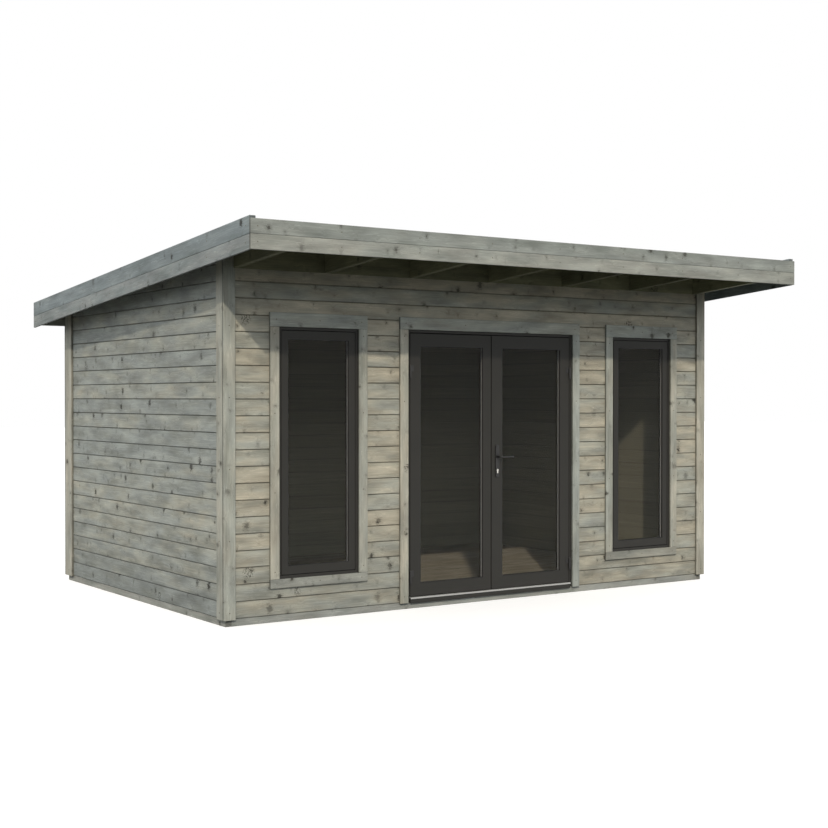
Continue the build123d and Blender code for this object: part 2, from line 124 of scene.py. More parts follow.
floor_reach = 60
floor_mesh = bpy.data.meshes.new("studio_floor")
corners = [(-1, -1), (1, -1), (1, 1), (-1, 1)]
floor_mesh.from_pydata([(x * floor_reach, y * floor_reach, 0) for x, y in corners], [], [(0, 1, 2, 3)])
studio_floor = bpy.data.objects.new("studio_floor", floor_mesh)
bpy.context.scene.collection.objects.link(studio_floor)

# Matt floor paint: dull for the light that it throws back, and lifted to white where it is seen,
# with the cabin's shadow left on it.
floor_paint = bpy.data.materials.new("matt_floor_paint")
floor_paint.use_nodes = True
paint_tree = floor_paint.node_tree
paint_tree.nodes.clear()
dull = add(paint_tree, "ShaderNodeBsdfDiffuse", {"Color": linear("#50504D")}).outputs[0]
pale = add(paint_tree, "ShaderNodeBsdfDiffuse", {"Color": linear("#C8C8C6")}).outputs[0]
lift = add(paint_tree, "ShaderNodeEmission", {"Color": linear("#FFFFFF"), "Strength": 0.53}).outputs[0]
pale = add(paint_tree, "ShaderNodeAddShader", {0: pale, 1: lift}).outputs[0]
painted = add(paint_tree, "ShaderNodeMixShader", {0: seen_rays(paint_tree), 1: dull, 2: pale}).outputs[0]
add(paint_tree, "ShaderNodeOutputMaterial", {"Surface": painted})
floor_mesh.materials.append(floor_paint)


# Base frame
# Bearers and joists of sawn, pressure-treated softwood on edge, nailed together on the ground.
# Their outer faces show as a narrow strip under the wall boards.
def boards_of(solid):
    """Separate boards of a mesh: vertices, their limits, and the axes along, across and through."""
    solid.verts.index_update()
    seen = set()
    for first in solid.verts:
        if first.index in seen:
            continue
        board = [first]
        seen.add(first.index)
        for vert in board:
            for edge in vert.link_edges:
                other = edge.other_vert(vert)
                if other.index not in seen:
                    seen.add(other.index)
                    board.append(other)
        low = Vector([min(v.co[i] for v in board) for i in range(3)])
        high = Vector([max(v.co[i] for v in board) for i in range(3)])
        yield board, low, high, sorted(range(3), key=lambda i: low[i] - high[i])


log_reach = 40
edge_lean = 0.5


def lay_grain(solid, chance, lean):
    """Gives each board in a mesh its grain direction, place in the log and tone, and marks its edges."""
    grain = solid.verts.layers.float_vector.new("grain")
    tone = solid.verts.layers.float.new("tone")
    edge_stain_and_shade = solid.faces.layers.float.new("edge_stain_and_shade")
    solid.normal_update()
    for board, low, high, (along, across, through) in boards_of(solid):
        log = Vector((chance.uniform(0, log_reach), chance.uniform(0, log_reach), 0))
        shade = chance.random()
        for vert in board:
            level = vert.co[across] + lean * vert.co[along]
            vert[grain] = Vector((vert.co[along], level, vert.co[through])) + log
            vert[tone] = shade
            for face in vert.link_faces:
                # Faces across a board's thickness are marked for darker edges: salts in the sawn wood, and
                # painted shade for the gaps beside them.
                face[edge_stain_and_shade] = float(abs(face.normal[through]) < edge_lean)


weld_distance = 1e-5
flat_angle = math.radians(1)
arris_angle = math.radians(40)


def eased(name, nodes, edge, seed, lean=0.0):
    """Mesh of CAD nodes with their arrises rounded and grain laid along each board."""
    chance = random.Random(seed)
    whole = bmesh.new()
    for node in nodes:
        cad = frame["nodes"][node].data
        solid = bmesh.new()
        verts = [solid.verts.new(v.co) for v in cad.vertices]
        for face in cad.polygons:
            solid.faces.new([verts[i] for i in face.vertices])
        bmesh.ops.remove_doubles(solid, verts=solid.verts, dist=weld_distance)
        bmesh.ops.dissolve_limit(solid, angle_limit=flat_angle, verts=solid.verts, edges=solid.edges)
        arrises = [e for e in solid.edges if e.is_manifold and e.calc_face_angle() > arris_angle]
        bmesh.ops.bevel(
            solid, geom=arrises, offset=edge, segments=2, profile=0.5, affect="EDGES", clamp_overlap=True
        )
        lay_grain(solid, chance, lean)
        part = bpy.data.meshes.new(node)
        solid.to_mesh(part)
        solid.free()
        whole.from_mesh(part)
        bpy.data.meshes.remove(part)
    mesh = bpy.data.meshes.new(name)
    whole.to_mesh(mesh)
    whole.free()
    return mesh


def place(name, mesh, material, body, slot, *nodes):
    """Puts a finished mesh on its body, in the place of the CAD nodes that it stands for."""
    made = bpy.data.objects.new(name, mesh)
    bpy.context.scene.collection.objects.link(made)
    mesh.materials.clear()
    mesh.materials.append(material)
    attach(made, body)
    if nodes:
        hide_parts(*nodes)


# Pressure-treated spruce: grey-green from the salts, streaked along the grain and mottled with
# blue-grey stain and pale flecks, with ragged dark knots, one or two to the metre of board, and now
# and then a whorl of small ones. Sawn edges and board chamfers are darker, partly from salts and
# dirt and partly as painted shade for the gaps and grooves beside them, and so is what the rain
# splashes near the ground. Each kind of knot has its spacing, its radius and its share of the places.
# Real fibres are far finer, and are drawn as coarse as they need to show.
knot_kinds = ((0.17, 0.022, 1.0), (0.085, 0.009, 0.7))
knot_shy = 0.02
knot_edge = (-0.001, 0.008)
halo_edge = (-0.018, 0.004)
stir_size = 0.025
stir_reach = (0.026, 0.03, 0.0)
knot_squash = (0.95, 0.75, 0.0)
fray_length, fray_width = 0.03, 0.008
whorl_spacing, whorl_radius, whorl_share = 0.5, 0.06, 0.6
whorl_fleck = 0.011
bulge_reach, bulge_rise = 0.05, 0.022
drift_length, drift_width, drift_rise = 0.9, 0.35, 0.05
ring_slant = 0.4
streak_length, streak_width = 0.7, 0.009
fibre_length, fibre_width = 0.2, 0.0022
mottle_length, mottle_width = 0.32, 0.085
fleck_length, fleck_width = 0.08, 0.006
splash_low, splash_high, splash_ragged = 0.1, 0.75, 0.4
grain_relief = 0.0012


def treated_timber(name, tones, stain, knot_share, knot_colour, contrast, roughness, damp=0.0):
    """Softwood with grain, stain and knots, in a tone for each board, and darker by damp near the ground."""
    material = bpy.data.materials.new(name)
    material.use_nodes = True
    tree = material.node_tree
    tree.nodes.clear()
    grain = add(tree, "ShaderNodeAttribute", attribute_name="grain").outputs["Vector"]
    tone = add(tree, "ShaderNodeAttribute", attribute_name="tone").outputs["Fac"]
    edge_stain_and_shade = add(tree, "ShaderNodeAttribute", attribute_name="edge_stain_and_shade").outputs["Fac"]
    part = add(tree, "ShaderNodeSeparateXYZ", {0: grain}).outputs

    # Knots: how far a spot lies inside the nearest one, with a frayed rim
    stir = {"Vector": grain, "Scale": 1 / stir_size, "Detail": 3.0}
    stir = add(tree, "ShaderNodeTexNoise", stir).outputs["Color"]
    stirred = {0: stir, 1: stir_reach, 2: grain}
    stirred = add(tree, "ShaderNodeVectorMath", stirred, operation="MULTIPLY_ADD").outputs[0]
    flat = {0: stirred, 1: knot_squash}
    flat = add(tree, "ShaderNodeVectorMath", flat, operation="MULTIPLY").outputs[0]
    frayed = {0: stirred, 1: (1 / fray_length, 1 / fray_width, 0.0)}
    frayed = add(tree, "ShaderNodeVectorMath", frayed, operation="MULTIPLY").outputs[0]
    frayed = {"Vector": frayed, "Scale": 1.0, "Detail": 2.0}
    frayed = add(tree, "ShaderNodeTexNoise", frayed).outputs["Fac"]
    frayed = add(tree, "ShaderNodeMapRange", {"Value": frayed, 1: 0.3, 2: 0.7, 3: 0.55, 4: 1.6}).outputs[0]
    inside = -1.0
    for spacing, radius, share in knot_kinds:
        cells = {"Vector": flat, "Scale": 1 / spacing}
        cells = add(tree, "ShaderNodeTexVoronoi", cells, voronoi_dimensions="2D").outputs
        off = {0: cells["Distance"], 1: spacing}
        off = add(tree, "ShaderNodeMath", off, operation="MULTIPLY").outputs[0]
        off = add(tree, "ShaderNodeMath", {0: off, 1: frayed}, operation="MULTIPLY").outputs[0]
        picks = add(tree, "ShaderNodeSeparateColor", {0: cells["Color"]}).outputs
        size = {"Value": picks[0], 1: 1 - knot_share * share, 2: 1.0}
        size = add(tree, "ShaderNodeMapRange", size).outputs[0]
        size = add(tree, "ShaderNodeMath", {0: size}, operation="SQRT").outputs[0]
        size = {0: size, 1: radius + knot_shy, 2: -knot_shy}
        size = add(tree, "ShaderNodeMath", size, operation="MULTIPLY_ADD").outputs[0]
        within = add(tree, "ShaderNodeMath", {0: size, 1: off}, operation="SUBTRACT").outputs[0]
        inside = add(tree, "ShaderNodeMath", {0: inside, 1: within}, operation="MAXIMUM").outputs[0]
    knot = add(tree, "ShaderNodeMapRange", {"Value": inside, 1: knot_edge[0], 2: knot_edge[1]}).outputs[0]
    halo = add(tree, "ShaderNodeMapRange", {"Value": inside, 1: halo_edge[0], 2: halo_edge[1]}).outputs[0]

    # Whorls: round patches of small dark scales
    cells = {"Vector": flat, "Scale": 1 / whorl_spacing}
    cells = add(tree, "ShaderNodeTexVoronoi", cells, voronoi_dimensions="2D").outputs
    off = {0: cells["Distance"], 1: whorl_spacing}
    off = add(tree, "ShaderNodeMath", off, operation="MULTIPLY").outputs[0]
    chosen = add(tree, "ShaderNodeSeparateColor", {0: cells["Color"]}).outputs[0]
    size = {"Value": chosen, 1: 1 - knot_share * whorl_share, 2: 1.0, 3: 0.0, 4: whorl_radius}
    size = add(tree, "ShaderNodeMapRange", size).outputs[0]
    within = add(tree, "ShaderNodeMath", {0: size, 1: off}, operation="SUBTRACT").outputs[0]
    whorl = add(tree, "ShaderNodeMapRange", {"Value": within, 1: 0.0, 2: whorl_radius / 3}).outputs[0]
    scales = {0: stirred, 1: (1 / whorl_fleck, 1 / whorl_fleck, 0.0)}
    scales = add(tree, "ShaderNodeVectorMath", scales, operation="MULTIPLY").outputs[0]
    scales = {"Vector": scales, "Scale": 1.0, "Detail": 3.0}
    scales = add(tree, "ShaderNodeTexNoise", scales).outputs["Fac"]
    scales = {"Value": scales, 1: 0.47, 2: 0.6, 3: 0.0, 4: 0.85}
    scales = add(tree, "ShaderNodeMapRange", scales).outputs[0]
    whorl = add(tree, "ShaderNodeMath", {0: whorl, 1: scales}, operation="MULTIPLY").outputs[0]

    # Grain along the board: growth rings that drift and bend round the knots, with fibres between
    bulge = {"Value": inside, 1: -bulge_reach, 2: 0.0, 3: 0.0, 4: bulge_rise}
    bulge = add(tree, "ShaderNodeMapRange", bulge, interpolation_type="SMOOTHERSTEP").outputs[0]
    slow = {0: grain, 1: (1 / drift_length, 1 / drift_width, 1.0)}
    slow = add(tree, "ShaderNodeVectorMath", slow, operation="MULTIPLY").outputs[0]
    drift = add(tree, "ShaderNodeTexNoise", {"Vector": slow, "Scale": 1.0, "Detail": 1.0}).outputs["Fac"]
    bent = {0: drift, 1: drift_rise, 2: bulge}
    bent = add(tree, "ShaderNodeMath", bent, operation="MULTIPLY_ADD").outputs[0]
    ring = add(tree, "ShaderNodeMath", {0: part[1], 1: bent}, operation="ADD").outputs[0]
    ring = {0: part[2], 1: ring_slant, 2: ring}
    ring = add(tree, "ShaderNodeMath", ring, operation="MULTIPLY_ADD").outputs[0]
    lengthwise = {0: part[0], 1: 1 / streak_length}
    lengthwise = add(tree, "ShaderNodeMath", lengthwise, operation="MULTIPLY").outputs[0]
    crosswise = {0: ring, 1: 1 / streak_width}
    crosswise = add(tree, "ShaderNodeMath", crosswise, operation="MULTIPLY").outputs[0]
    lines = add(tree, "ShaderNodeCombineXYZ", {0: lengthwise, 1: crosswise}).outputs[0]
    streak = {"Vector": lines, "Scale": 1.0, "Detail": 5.0, "Roughness": 0.62}
    streak = add(tree, "ShaderNodeTexNoise", streak, noise_dimensions="2D").outputs["Fac"]
    fibre = {0: lines, 1: (streak_length / fibre_length, streak_width / fibre_width, 1.0)}
    fibre = add(tree, "ShaderNodeVectorMath", fibre, operation="MULTIPLY").outputs[0]
    fibre = {"Vector": fibre, "Scale": 1.0, "Detail": 2.0}
    fibre = add(tree, "ShaderNodeTexNoise", fibre, noise_dimensions="2D").outputs["Fac"]
    fibre = add(tree, "ShaderNodeMapRange", {"Value": fibre, 1: 0.3, 2: 0.7, 3: 0.86, 4: 1.1}).outputs[0]

    # Colour: a tone for each board that wanders a little, with blotches of stain
    patch = {0: grain, 1: (1 / mottle_length, 1 / mottle_width, 1.0)}
    patch = add(tree, "ShaderNodeVectorMath", patch, operation="MULTIPLY").outputs[0]
    mottle = {"Vector": patch, "Scale": 1.0, "Detail": 2.5, "Roughness": 0.5}
    mottle = add(tree, "ShaderNodeTexNoise", mottle).outputs
    shifts = add(tree, "ShaderNodeSeparateColor", {0: mottle["Color"]}).outputs
    wander = {"Value": shifts[1], 1: 0.3, 2: 0.7, 3: -0.24, 4: 0.24}
    wander = add(tree, "ShaderNodeMapRange", wander).outputs[0]
    mixed = add(tree, "ShaderNodeMath", {0: tone, 1: wander}, operation="ADD").outputs[0]
    ramp = add(tree, "ShaderNodeValToRGB", {0: mixed})
    while len(ramp.color_ramp.elements) < len(tones):
        ramp.color_ramp.elements.new(0.5)
    for number, code in enumerate(tones):
        ramp.color_ramp.elements[number].position = number / (len(tones) - 1)
        ramp.color_ramp.elements[number].color = linear(code)
    soaked = {"Value": shifts[2], 1: 0.48, 2: 0.7, 3: 0.0, 4: 0.6}
    soaked = add(tree, "ShaderNodeMapRange", soaked).outputs[0]
    wood = {0: soaked, 6: ramp.outputs[0], 7: linear(stain)}
    wood = add(tree, "ShaderNodeMix", wood, data_type="RGBA").outputs[2]

    # Lightness: streaks, clouds, pale flecks, fibres, splashed foot and edges darkened by stain and painted
    # shade, one on another
    light = {"Value": streak, 1: 0.25, 2: 0.75, 3: 1 - contrast, 4: 1 + contrast * 0.6}
    light = add(tree, "ShaderNodeMapRange", light).outputs[0]
    cloud = {"Value": mottle["Fac"], 1: 0.3, 2: 0.7, 3: 0.76, 4: 1.2}
    cloud = add(tree, "ShaderNodeMapRange", cloud).outputs[0]
    fleck = {0: grain, 1: (1 / fleck_length, 1 / fleck_width, 1.0)}
    fleck = add(tree, "ShaderNodeVectorMath", fleck, operation="MULTIPLY").outputs[0]
    fleck = add(tree, "ShaderNodeTexNoise", {"Vector": fleck, "Scale": 1.0, "Detail": 2.0}).outputs["Fac"]
    fleck = add(tree, "ShaderNodeMapRange", {"Value": fleck, 1: 0.6, 2: 0.8, 3: 1.0, 4: 1.45}).outputs[0]
    spot = add(tree, "ShaderNodeTexCoord").outputs["Object"]
    level = add(tree, "ShaderNodeSeparateXYZ", {0: spot}).outputs["Z"]
    level = {0: mottle["Fac"], 1: splash_ragged, 2: level}
    level = add(tree, "ShaderNodeMath", level, operation="MULTIPLY_ADD").outputs[0]
    foot, top = splash_low + splash_ragged / 2, splash_high + splash_ragged / 2
    splash = {"Value": level, 1: foot, 2: top, 3: 1 - damp, 4: 1.0}
    splash = add(tree, "ShaderNodeMapRange", splash).outputs[0]
    # Marked edges go down to half lightness: stain in the wood, and painted shade for the gaps and grooves
    # beside them.
    edge = add(tree, "ShaderNodeMapRange", {"Value": edge_stain_and_shade, 3: 1.0, 4: 0.5}).outputs[0]
    for shade in (cloud, fleck, fibre, splash, edge):
        light = add(tree, "ShaderNodeMath", {0: light, 1: shade}, operation="MULTIPLY").outputs[0]
    wood = {0: 1.0, 6: wood, 7: light}
    wood = add(tree, "ShaderNodeMix", wood, data_type="RGBA", blend_type="MULTIPLY").outputs[2]
    smudge = add(tree, "ShaderNodeMath", {0: halo, 1: 0.28}, operation="MULTIPLY").outputs[0]
    depth = add(tree, "ShaderNodeMapRange", {"Value": picks[1], 1: 0.0, 2: 1.0, 3: 0.25, 4: 0.95}).outputs[0]
    dark = add(tree, "ShaderNodeMath", {0: knot, 1: depth}, operation="MULTIPLY").outputs[0]
    dark = add(tree, "ShaderNodeMath", {0: dark, 1: whorl}, operation="MAXIMUM").outputs[0]
    for share in (smudge, dark):
        wood = {0: share, 6: wood, 7: linear(knot_colour)}
        wood = add(tree, "ShaderNodeMix", wood, data_type="RGBA").outputs[2]

    # Surface: raised grain, sunken knots and less gloss in the dark streaks
    relief = add(tree, "ShaderNodeMath", {0: knot, 1: -0.6, 2: streak}, operation="MULTIPLY_ADD").outputs[0]
    bump = {"Height": relief, "Strength": 0.35, "Distance": grain_relief}
    bump = add(tree, "ShaderNodeBump", bump).outputs[0]
    gloss = {"Value": streak, 1: 0.3, 2: 0.7, 3: roughness + 0.06, 4: roughness - 0.08}
    gloss = add(tree, "ShaderNodeMapRange", gloss).outputs[0]
    shader = {"Base Color": wood, "Roughness": gloss, "Normal": bump, "Specular IOR Level": 0.25}
    shader = add(tree, "ShaderNodeBsdfPrincipled", shader).outputs[0]
    add(tree, "ShaderNodeOutputMaterial", {"Surface": shader})
    return material


base_nodes = ("base_side_beams", "base_end_beams", "floor_joists")
# Sawn, pressure-treated softwood: rougher than the planed boards, with fewer knots.
sawn_timber = treated_timber(
    "sawn_treated_softwood", tones=("#959A97", "#9FA19B", "#A8A8A0"), stain="#80867F",
    knot_share=0.4, knot_colour="#3C3931", contrast=0.16, roughness=0.85,
)
base_mesh = eased("base_timbers", base_nodes, edge=0.003, seed=11)
place("base_timbers", base_mesh, sawn_timber, "cabin", "base_timber", *base_nodes)


# Wall boards
# Tongued spruce boards with chamfered edges, nailed level to the walls from the base up. The
# chamfers meet in a V at each joint, where dirt and salts gather, and are darkened as painted shade.
# Boards stop at the door and window frames under the trims.
joint_dirt_and_shade = 0.45
edge_facing, face_facing = 0.75, 0.95
tone_seed_step = 77.0
log_spread = (143.0, 131.0, 0.0)


def board_tree():
    """Node tree that lays boards side by side, each with its own tone and place in the log."""
    tree = bpy.data.node_groups.new("board_run", "GeometryNodeTree")
    for name in ("Length", "Cover", "Thickness", "Groove", "Gap", "Wander", "Tilt", "Coolest", "Warmest"):
        tree.interface.new_socket(name, in_out="INPUT", socket_type="NodeSocketFloat")
    for name in ("Count", "Seed"):
        tree.interface.new_socket(name, in_out="INPUT", socket_type="NodeSocketInt")
    tree.interface.new_socket("Material", in_out="INPUT", socket_type="NodeSocketMaterial")
    tree.interface.new_socket("Boards", in_out="OUTPUT", socket_type="NodeSocketGeometry")
    sizes = add(tree, "NodeGroupInput").outputs

    # One board: a chamfered section drawn along a line
    end = add(tree, "ShaderNodeMath", {0: sizes["Length"], 1: 0.5}, operation="MULTIPLY").outputs[0]
    start = add(tree, "ShaderNodeMath", {0: end, 1: -1.0}, operation="MULTIPLY").outputs[0]
    start = add(tree, "ShaderNodeCombineXYZ", {"X": start}).outputs[0]
    end = add(tree, "ShaderNodeCombineXYZ", {"X": end}).outputs[0]
    line = add(tree, "GeometryNodeCurvePrimitiveLine", {"Start": start, "End": end}).outputs[0]
    width = add(tree, "ShaderNodeMath", {0: sizes["Cover"], 1: sizes["Gap"]}, operation="SUBTRACT").outputs[0]
    section = {"Width": width, "Height": sizes["Thickness"]}
    section = add(tree, "GeometryNodeCurvePrimitiveQuadrilateral", section).outputs[0]
    section = {"Curve": section, "Radius": sizes["Groove"], "Count": 1}
    section = add(tree, "GeometryNodeFilletCurve", section, mode="POLY").outputs[0]
    board = {"Curve": line, "Profile Curve": section, "Fill Caps": True}
    board = add(tree, "GeometryNodeCurveToMesh", board).outputs[0]
    board = {"Geometry": board, "Shade Smooth": False}
    board = add(tree, "GeometryNodeSetShadeSmooth", board).outputs[0]

    # Rows of boards, each set back a little by chance
    middle = add(tree, "ShaderNodeMath", {0: sizes["Cover"], 1: 0.5}, operation="MULTIPLY").outputs[0]
    sunk = add(tree, "ShaderNodeMath", {0: sizes["Thickness"], 1: -0.5}, operation="MULTIPLY").outputs[0]
    first = add(tree, "ShaderNodeCombineXYZ", {"Y": middle, "Z": sunk}).outputs[0]
    step = add(tree, "ShaderNodeCombineXYZ", {"Y": sizes["Cover"]}).outputs[0]
    rows = {"Count": sizes["Count"], "Start Location": first, "Offset": step}
    rows = add(tree, "GeometryNodeMeshLine", rows).outputs[0]
    boards = add(tree, "GeometryNodeInstanceOnPoints", {"Points": rows, "Instance": board}).outputs[0]
    turn = add(tree, "ShaderNodeCombineXYZ", {"X": sizes["Tilt"]}).outputs[0]
    turn = add(tree, "FunctionNodeEulerToRotation", {0: turn}).outputs[0]
    boards = add(tree, "GeometryNodeRotateInstances", {"Instances": boards, "Rotation": turn}).outputs[0]
    back = add(tree, "ShaderNodeMath", {0: sizes["Wander"], 1: -1.0}, operation="MULTIPLY").outputs[0]
    shy = {2: back, 3: 0.0, "Seed": sizes["Seed"]}
    shy = add(tree, "FunctionNodeRandomValue", shy, data_type="FLOAT").outputs[1]
    shy = add(tree, "ShaderNodeCombineXYZ", {"Z": shy}).outputs[0]
    boards = {"Instances": boards, "Translation": shy, "Local Space": False}
    boards = add(tree, "GeometryNodeTranslateInstances", boards).outputs[0]

    # A tone for each board, dirt and painted shade on its chamfers, and its grain
    other = add(tree, "ShaderNodeMath", {0: sizes["Seed"], 1: tone_seed_step}, operation="ADD").outputs[0]
    tone = {2: sizes["Coolest"], 3: sizes["Warmest"], "Seed": other}
    tone = add(tree, "FunctionNodeRandomValue", tone, data_type="FLOAT").outputs[1]
    boards = {"Geometry": boards, "Name": "tone", "Value": tone}
    boards = add(
        tree, "GeometryNodeStoreNamedAttribute", boards, data_type="FLOAT", domain="INSTANCE"
    ).outputs[0]
    boards = add(tree, "GeometryNodeRealizeInstances", {"Geometry": boards}).outputs[0]
    outward = add(tree, "GeometryNodeInputNormal").outputs[0]
    outward = add(tree, "ShaderNodeSeparateXYZ", {0: outward}).outputs["Z"]
    outward = add(tree, "ShaderNodeMath", {0: outward}, operation="ABSOLUTE").outputs[0]
    # Chamfers are marked darker: dirt in the joints and painted shade in the grooves.
    edge_stain_and_shade = {"Value": outward, 1: edge_facing, 2: face_facing, 3: joint_dirt_and_shade, 4: 0.0}
    edge_stain_and_shade = add(tree, "ShaderNodeMapRange", edge_stain_and_shade).outputs[0]
    boards = {"Geometry": boards, "Name": "edge_stain_and_shade", "Value": edge_stain_and_shade}
    boards = add(
        tree, "GeometryNodeStoreNamedAttribute", boards, data_type="FLOAT", domain="FACE"
    ).outputs[0]
    tone = add(tree, "GeometryNodeInputNamedAttribute", {"Name": "tone"}, data_type="FLOAT").outputs[0]
    log = add(tree, "ShaderNodeVectorMath", {0: tone, 1: log_spread}, operation="MULTIPLY").outputs[0]
    spot = add(tree, "GeometryNodeInputPosition").outputs[0]
    grain = add(tree, "ShaderNodeVectorMath", {0: spot, 1: log}, operation="ADD").outputs[0]
    boards = {"Geometry": boards, "Name": "grain", "Value": grain}
    boards = add(
        tree, "GeometryNodeStoreNamedAttribute", boards, data_type="FLOAT_VECTOR", domain="POINT"
    ).outputs[0]
    boards = {"Geometry": boards, "Material": sizes["Material"]}
    boards = add(tree, "GeometryNodeSetMaterial", boards).outputs[0]
    add(tree, "NodeGroupOutput", {0: boards})
    return tree


def grown(tree, spots=(), **sizes):
    """Plain mesh that a node tree gives for these sizes, and for places with the way each one faces."""
    seed_mesh = bpy.data.meshes.new(tree.name)
    seed_mesh.from_pydata([spot for spot, facing in spots], [], [])
    facings = seed_mesh.attributes.new("facing", "FLOAT_VECTOR", "POINT")
    for number, (spot, facing) in enumerate(spots):
        facings.data[number].vector = facing
    carrier = bpy.data.objects.new(tree.name, seed_mesh)
    bpy.context.scene.collection.objects.link(carrier)
    modifier = carrier.modifiers.new(tree.name, "NODES")
    modifier.node_group = tree
    for item in tree.interface.items_tree:
        if item.in_out == "INPUT" and item.name in sizes:
            modifier[item.identifier] = sizes[item.name]
    graph = bpy.context.evaluated_depsgraph_get()
    result = carrier.evaluated_get(graph)
    mesh = bpy.data.meshes.new_from_object(result, preserve_all_data_layers=True, depsgraph=graph)
    bpy.data.objects.remove(carrier)
    return mesh


def stand(mesh, origin, along, across):
    """Moves a run of boards to its place, with its length and its rows in these directions."""
    turned = Matrix((along, across, along.cross(across))).transposed().to_4x4()
    turned.translation = origin
    mesh.transform(turned)
    return mesh


felt_thickness = 0.004
felt_low, felt_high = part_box("roof_felt")
roof_slope = (felt_high.z - felt_low.z - felt_thickness) / (felt_high.y - felt_low.y)
deck_bottom = 0.022
rafter_bottom = 0.167


def roof_height(y, below):
    """Height of a layer of the roof, measured straight down from the felt's surface."""
    return felt_high.z - roof_slope * (y - felt_low.y) - below


def roof_cut(below):
    """Point and upward direction of a layer of the roof."""
    return Vector((0, 0, roof_height(0, below))), Vector((0, roof_slope, 1))


def joined(name, meshes, *cuts):
    """One mesh of several, cut off beyond each plane that is given as a point and a direction."""
    whole = bmesh.new()
    for mesh in meshes:
        whole.from_mesh(mesh)
        bpy.data.meshes.remove(mesh)
    for spot, outward in cuts:
        parts = whole.verts[:] + whole.edges[:] + whole.faces[:]
        cut = bmesh.ops.bisect_plane(whole, geom=parts, plane_co=spot, plane_no=outward, clear_outer=True)
        rims = [part for part in cut["geom_cut"] if isinstance(part, bmesh.types.BMEdge)]
        bmesh.ops.holes_fill(whole, edges=rims, sides=0)
    mesh = bpy.data.meshes.new(name)
    whole.to_mesh(mesh)
    whole.free()
    return mesh


# Planed, pressure-treated spruce, warmer on the front and cooler on the sides and back as painted sunlight
# and shade.
cladding_timber = treated_timber(
    "treated_spruce_boards", tones=("#959B98", "#9DA29D", "#A7A99F", "#AFAC9D", "#B6B1A0"),
    stain="#868A82", knot_share=0.6, knot_colour="#2A2823", contrast=0.15, roughness=0.8, damp=0.16,
)
board_run = board_tree()
board_cover = 0.1151
right, up, back = Vector((1, 0, 0)), Vector((0, 0, 1)), Vector((0, 1, 0))
front_low, front_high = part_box("front_cladding_left")[0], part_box("front_cladding_right")[1]
door_hole = (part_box("front_cladding_left")[1].x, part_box("front_cladding_right")[0].x)
left_low, left_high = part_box("left_cladding")
right_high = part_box("right_cladding")[1]
rear_low, rear_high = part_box("back_cladding")
window_hole_width = 0.697
window_holes = (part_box("window_frames")[0].x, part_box("window_frames")[1].x - window_hole_width)
board_bottom = front_low.z
board_sizes = dict(
    Cover=board_cover, Thickness=0.018, Groove=0.004, Gap=0.003, Wander=0.0008, Tilt=0.0,
    Material=cladding_timber,
)

sill_courses = 2
head_course = 18
front_courses = 21
window_courses = head_course - sill_courses
# The front's boards take the warm end of the tones as painted sunlight.
sunlit_front_tones = {"Coolest": 0.46, "Warmest": 0.94}
front_runs = [(front_low.x, front_high.x, head_course, front_courses - head_course)]
for start, end, window in (
    (front_low.x, door_hole[0], window_holes[0]),
    (door_hole[1], front_high.x, window_holes[1]),
):
    front_runs.append((start, end, 0, sill_courses))
    front_runs.append((start, window, sill_courses, window_courses))
    front_runs.append((window + window_hole_width, end, sill_courses, window_courses))
front_boards = []
for number, (start, end, course, count) in enumerate(front_runs):
    run = {"Length": end - start, "Count": count, "Seed": number + 1}
    run = grown(board_run, **run, **sunlit_front_tones, **board_sizes)
    spot = Vector(((start + end) / 2, front_low.y, board_bottom + course * board_cover))
    front_boards.append(stand(run, spot, right, up))
front_nodes = ("front_cladding_left", "front_cladding_right", "front_cladding_over_door")
front_mesh = joined("front_boards", front_boards, roof_cut(rafter_bottom))
place("front_boards", front_mesh, cladding_timber, "cabin", "cladding_boards", *front_nodes)

# The sides and back take the cool end of the tones as painted shade.
shaded_side_tones = {"Coolest": 0.0, "Warmest": 0.45}
side_middle = (left_low.y + left_high.y) / 2
side_length = left_high.y - left_low.y
rear_middle = (rear_low.x + rear_high.x) / 2
rear_length = rear_high.x - rear_low.x
for name, node, seed, (x, y), along, length, below in (
    ("left_boards", "left_cladding", 121, (left_low.x, side_middle), -back, side_length, deck_bottom),
    ("right_boards", "right_cladding", 128, (right_high.x, side_middle), back, side_length, deck_bottom),
    ("back_boards", "back_cladding", 111, (rear_middle, rear_high.y), -right, rear_length, rafter_bottom),
):
    spot = Vector((x, y, board_bottom))
    count = math.ceil((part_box(node)[1].z - board_bottom) / board_cover)
    run = {"Length": length, "Count": count, "Seed": seed}
    run = grown(board_run, **run, **shaded_side_tones, **board_sizes)
    mesh = joined(name, [stand(run, spot, along, up)], roof_cut(below))
    place(name, mesh, cladding_timber, "cabin", "cladding_boards", node)


# Inner walls
# The same boards show planed and untreated inside, level, with a V joint at each course.
# They are seen only through the glass, so their joints are drawn in the material. Planed spruce is
# dull, with faint streaks along the grain and a slightly different tone to each board.
joint_core_share, joint_rim_share = 0.008, 0.03
joint_depth = 0.004
log_step = 7.31


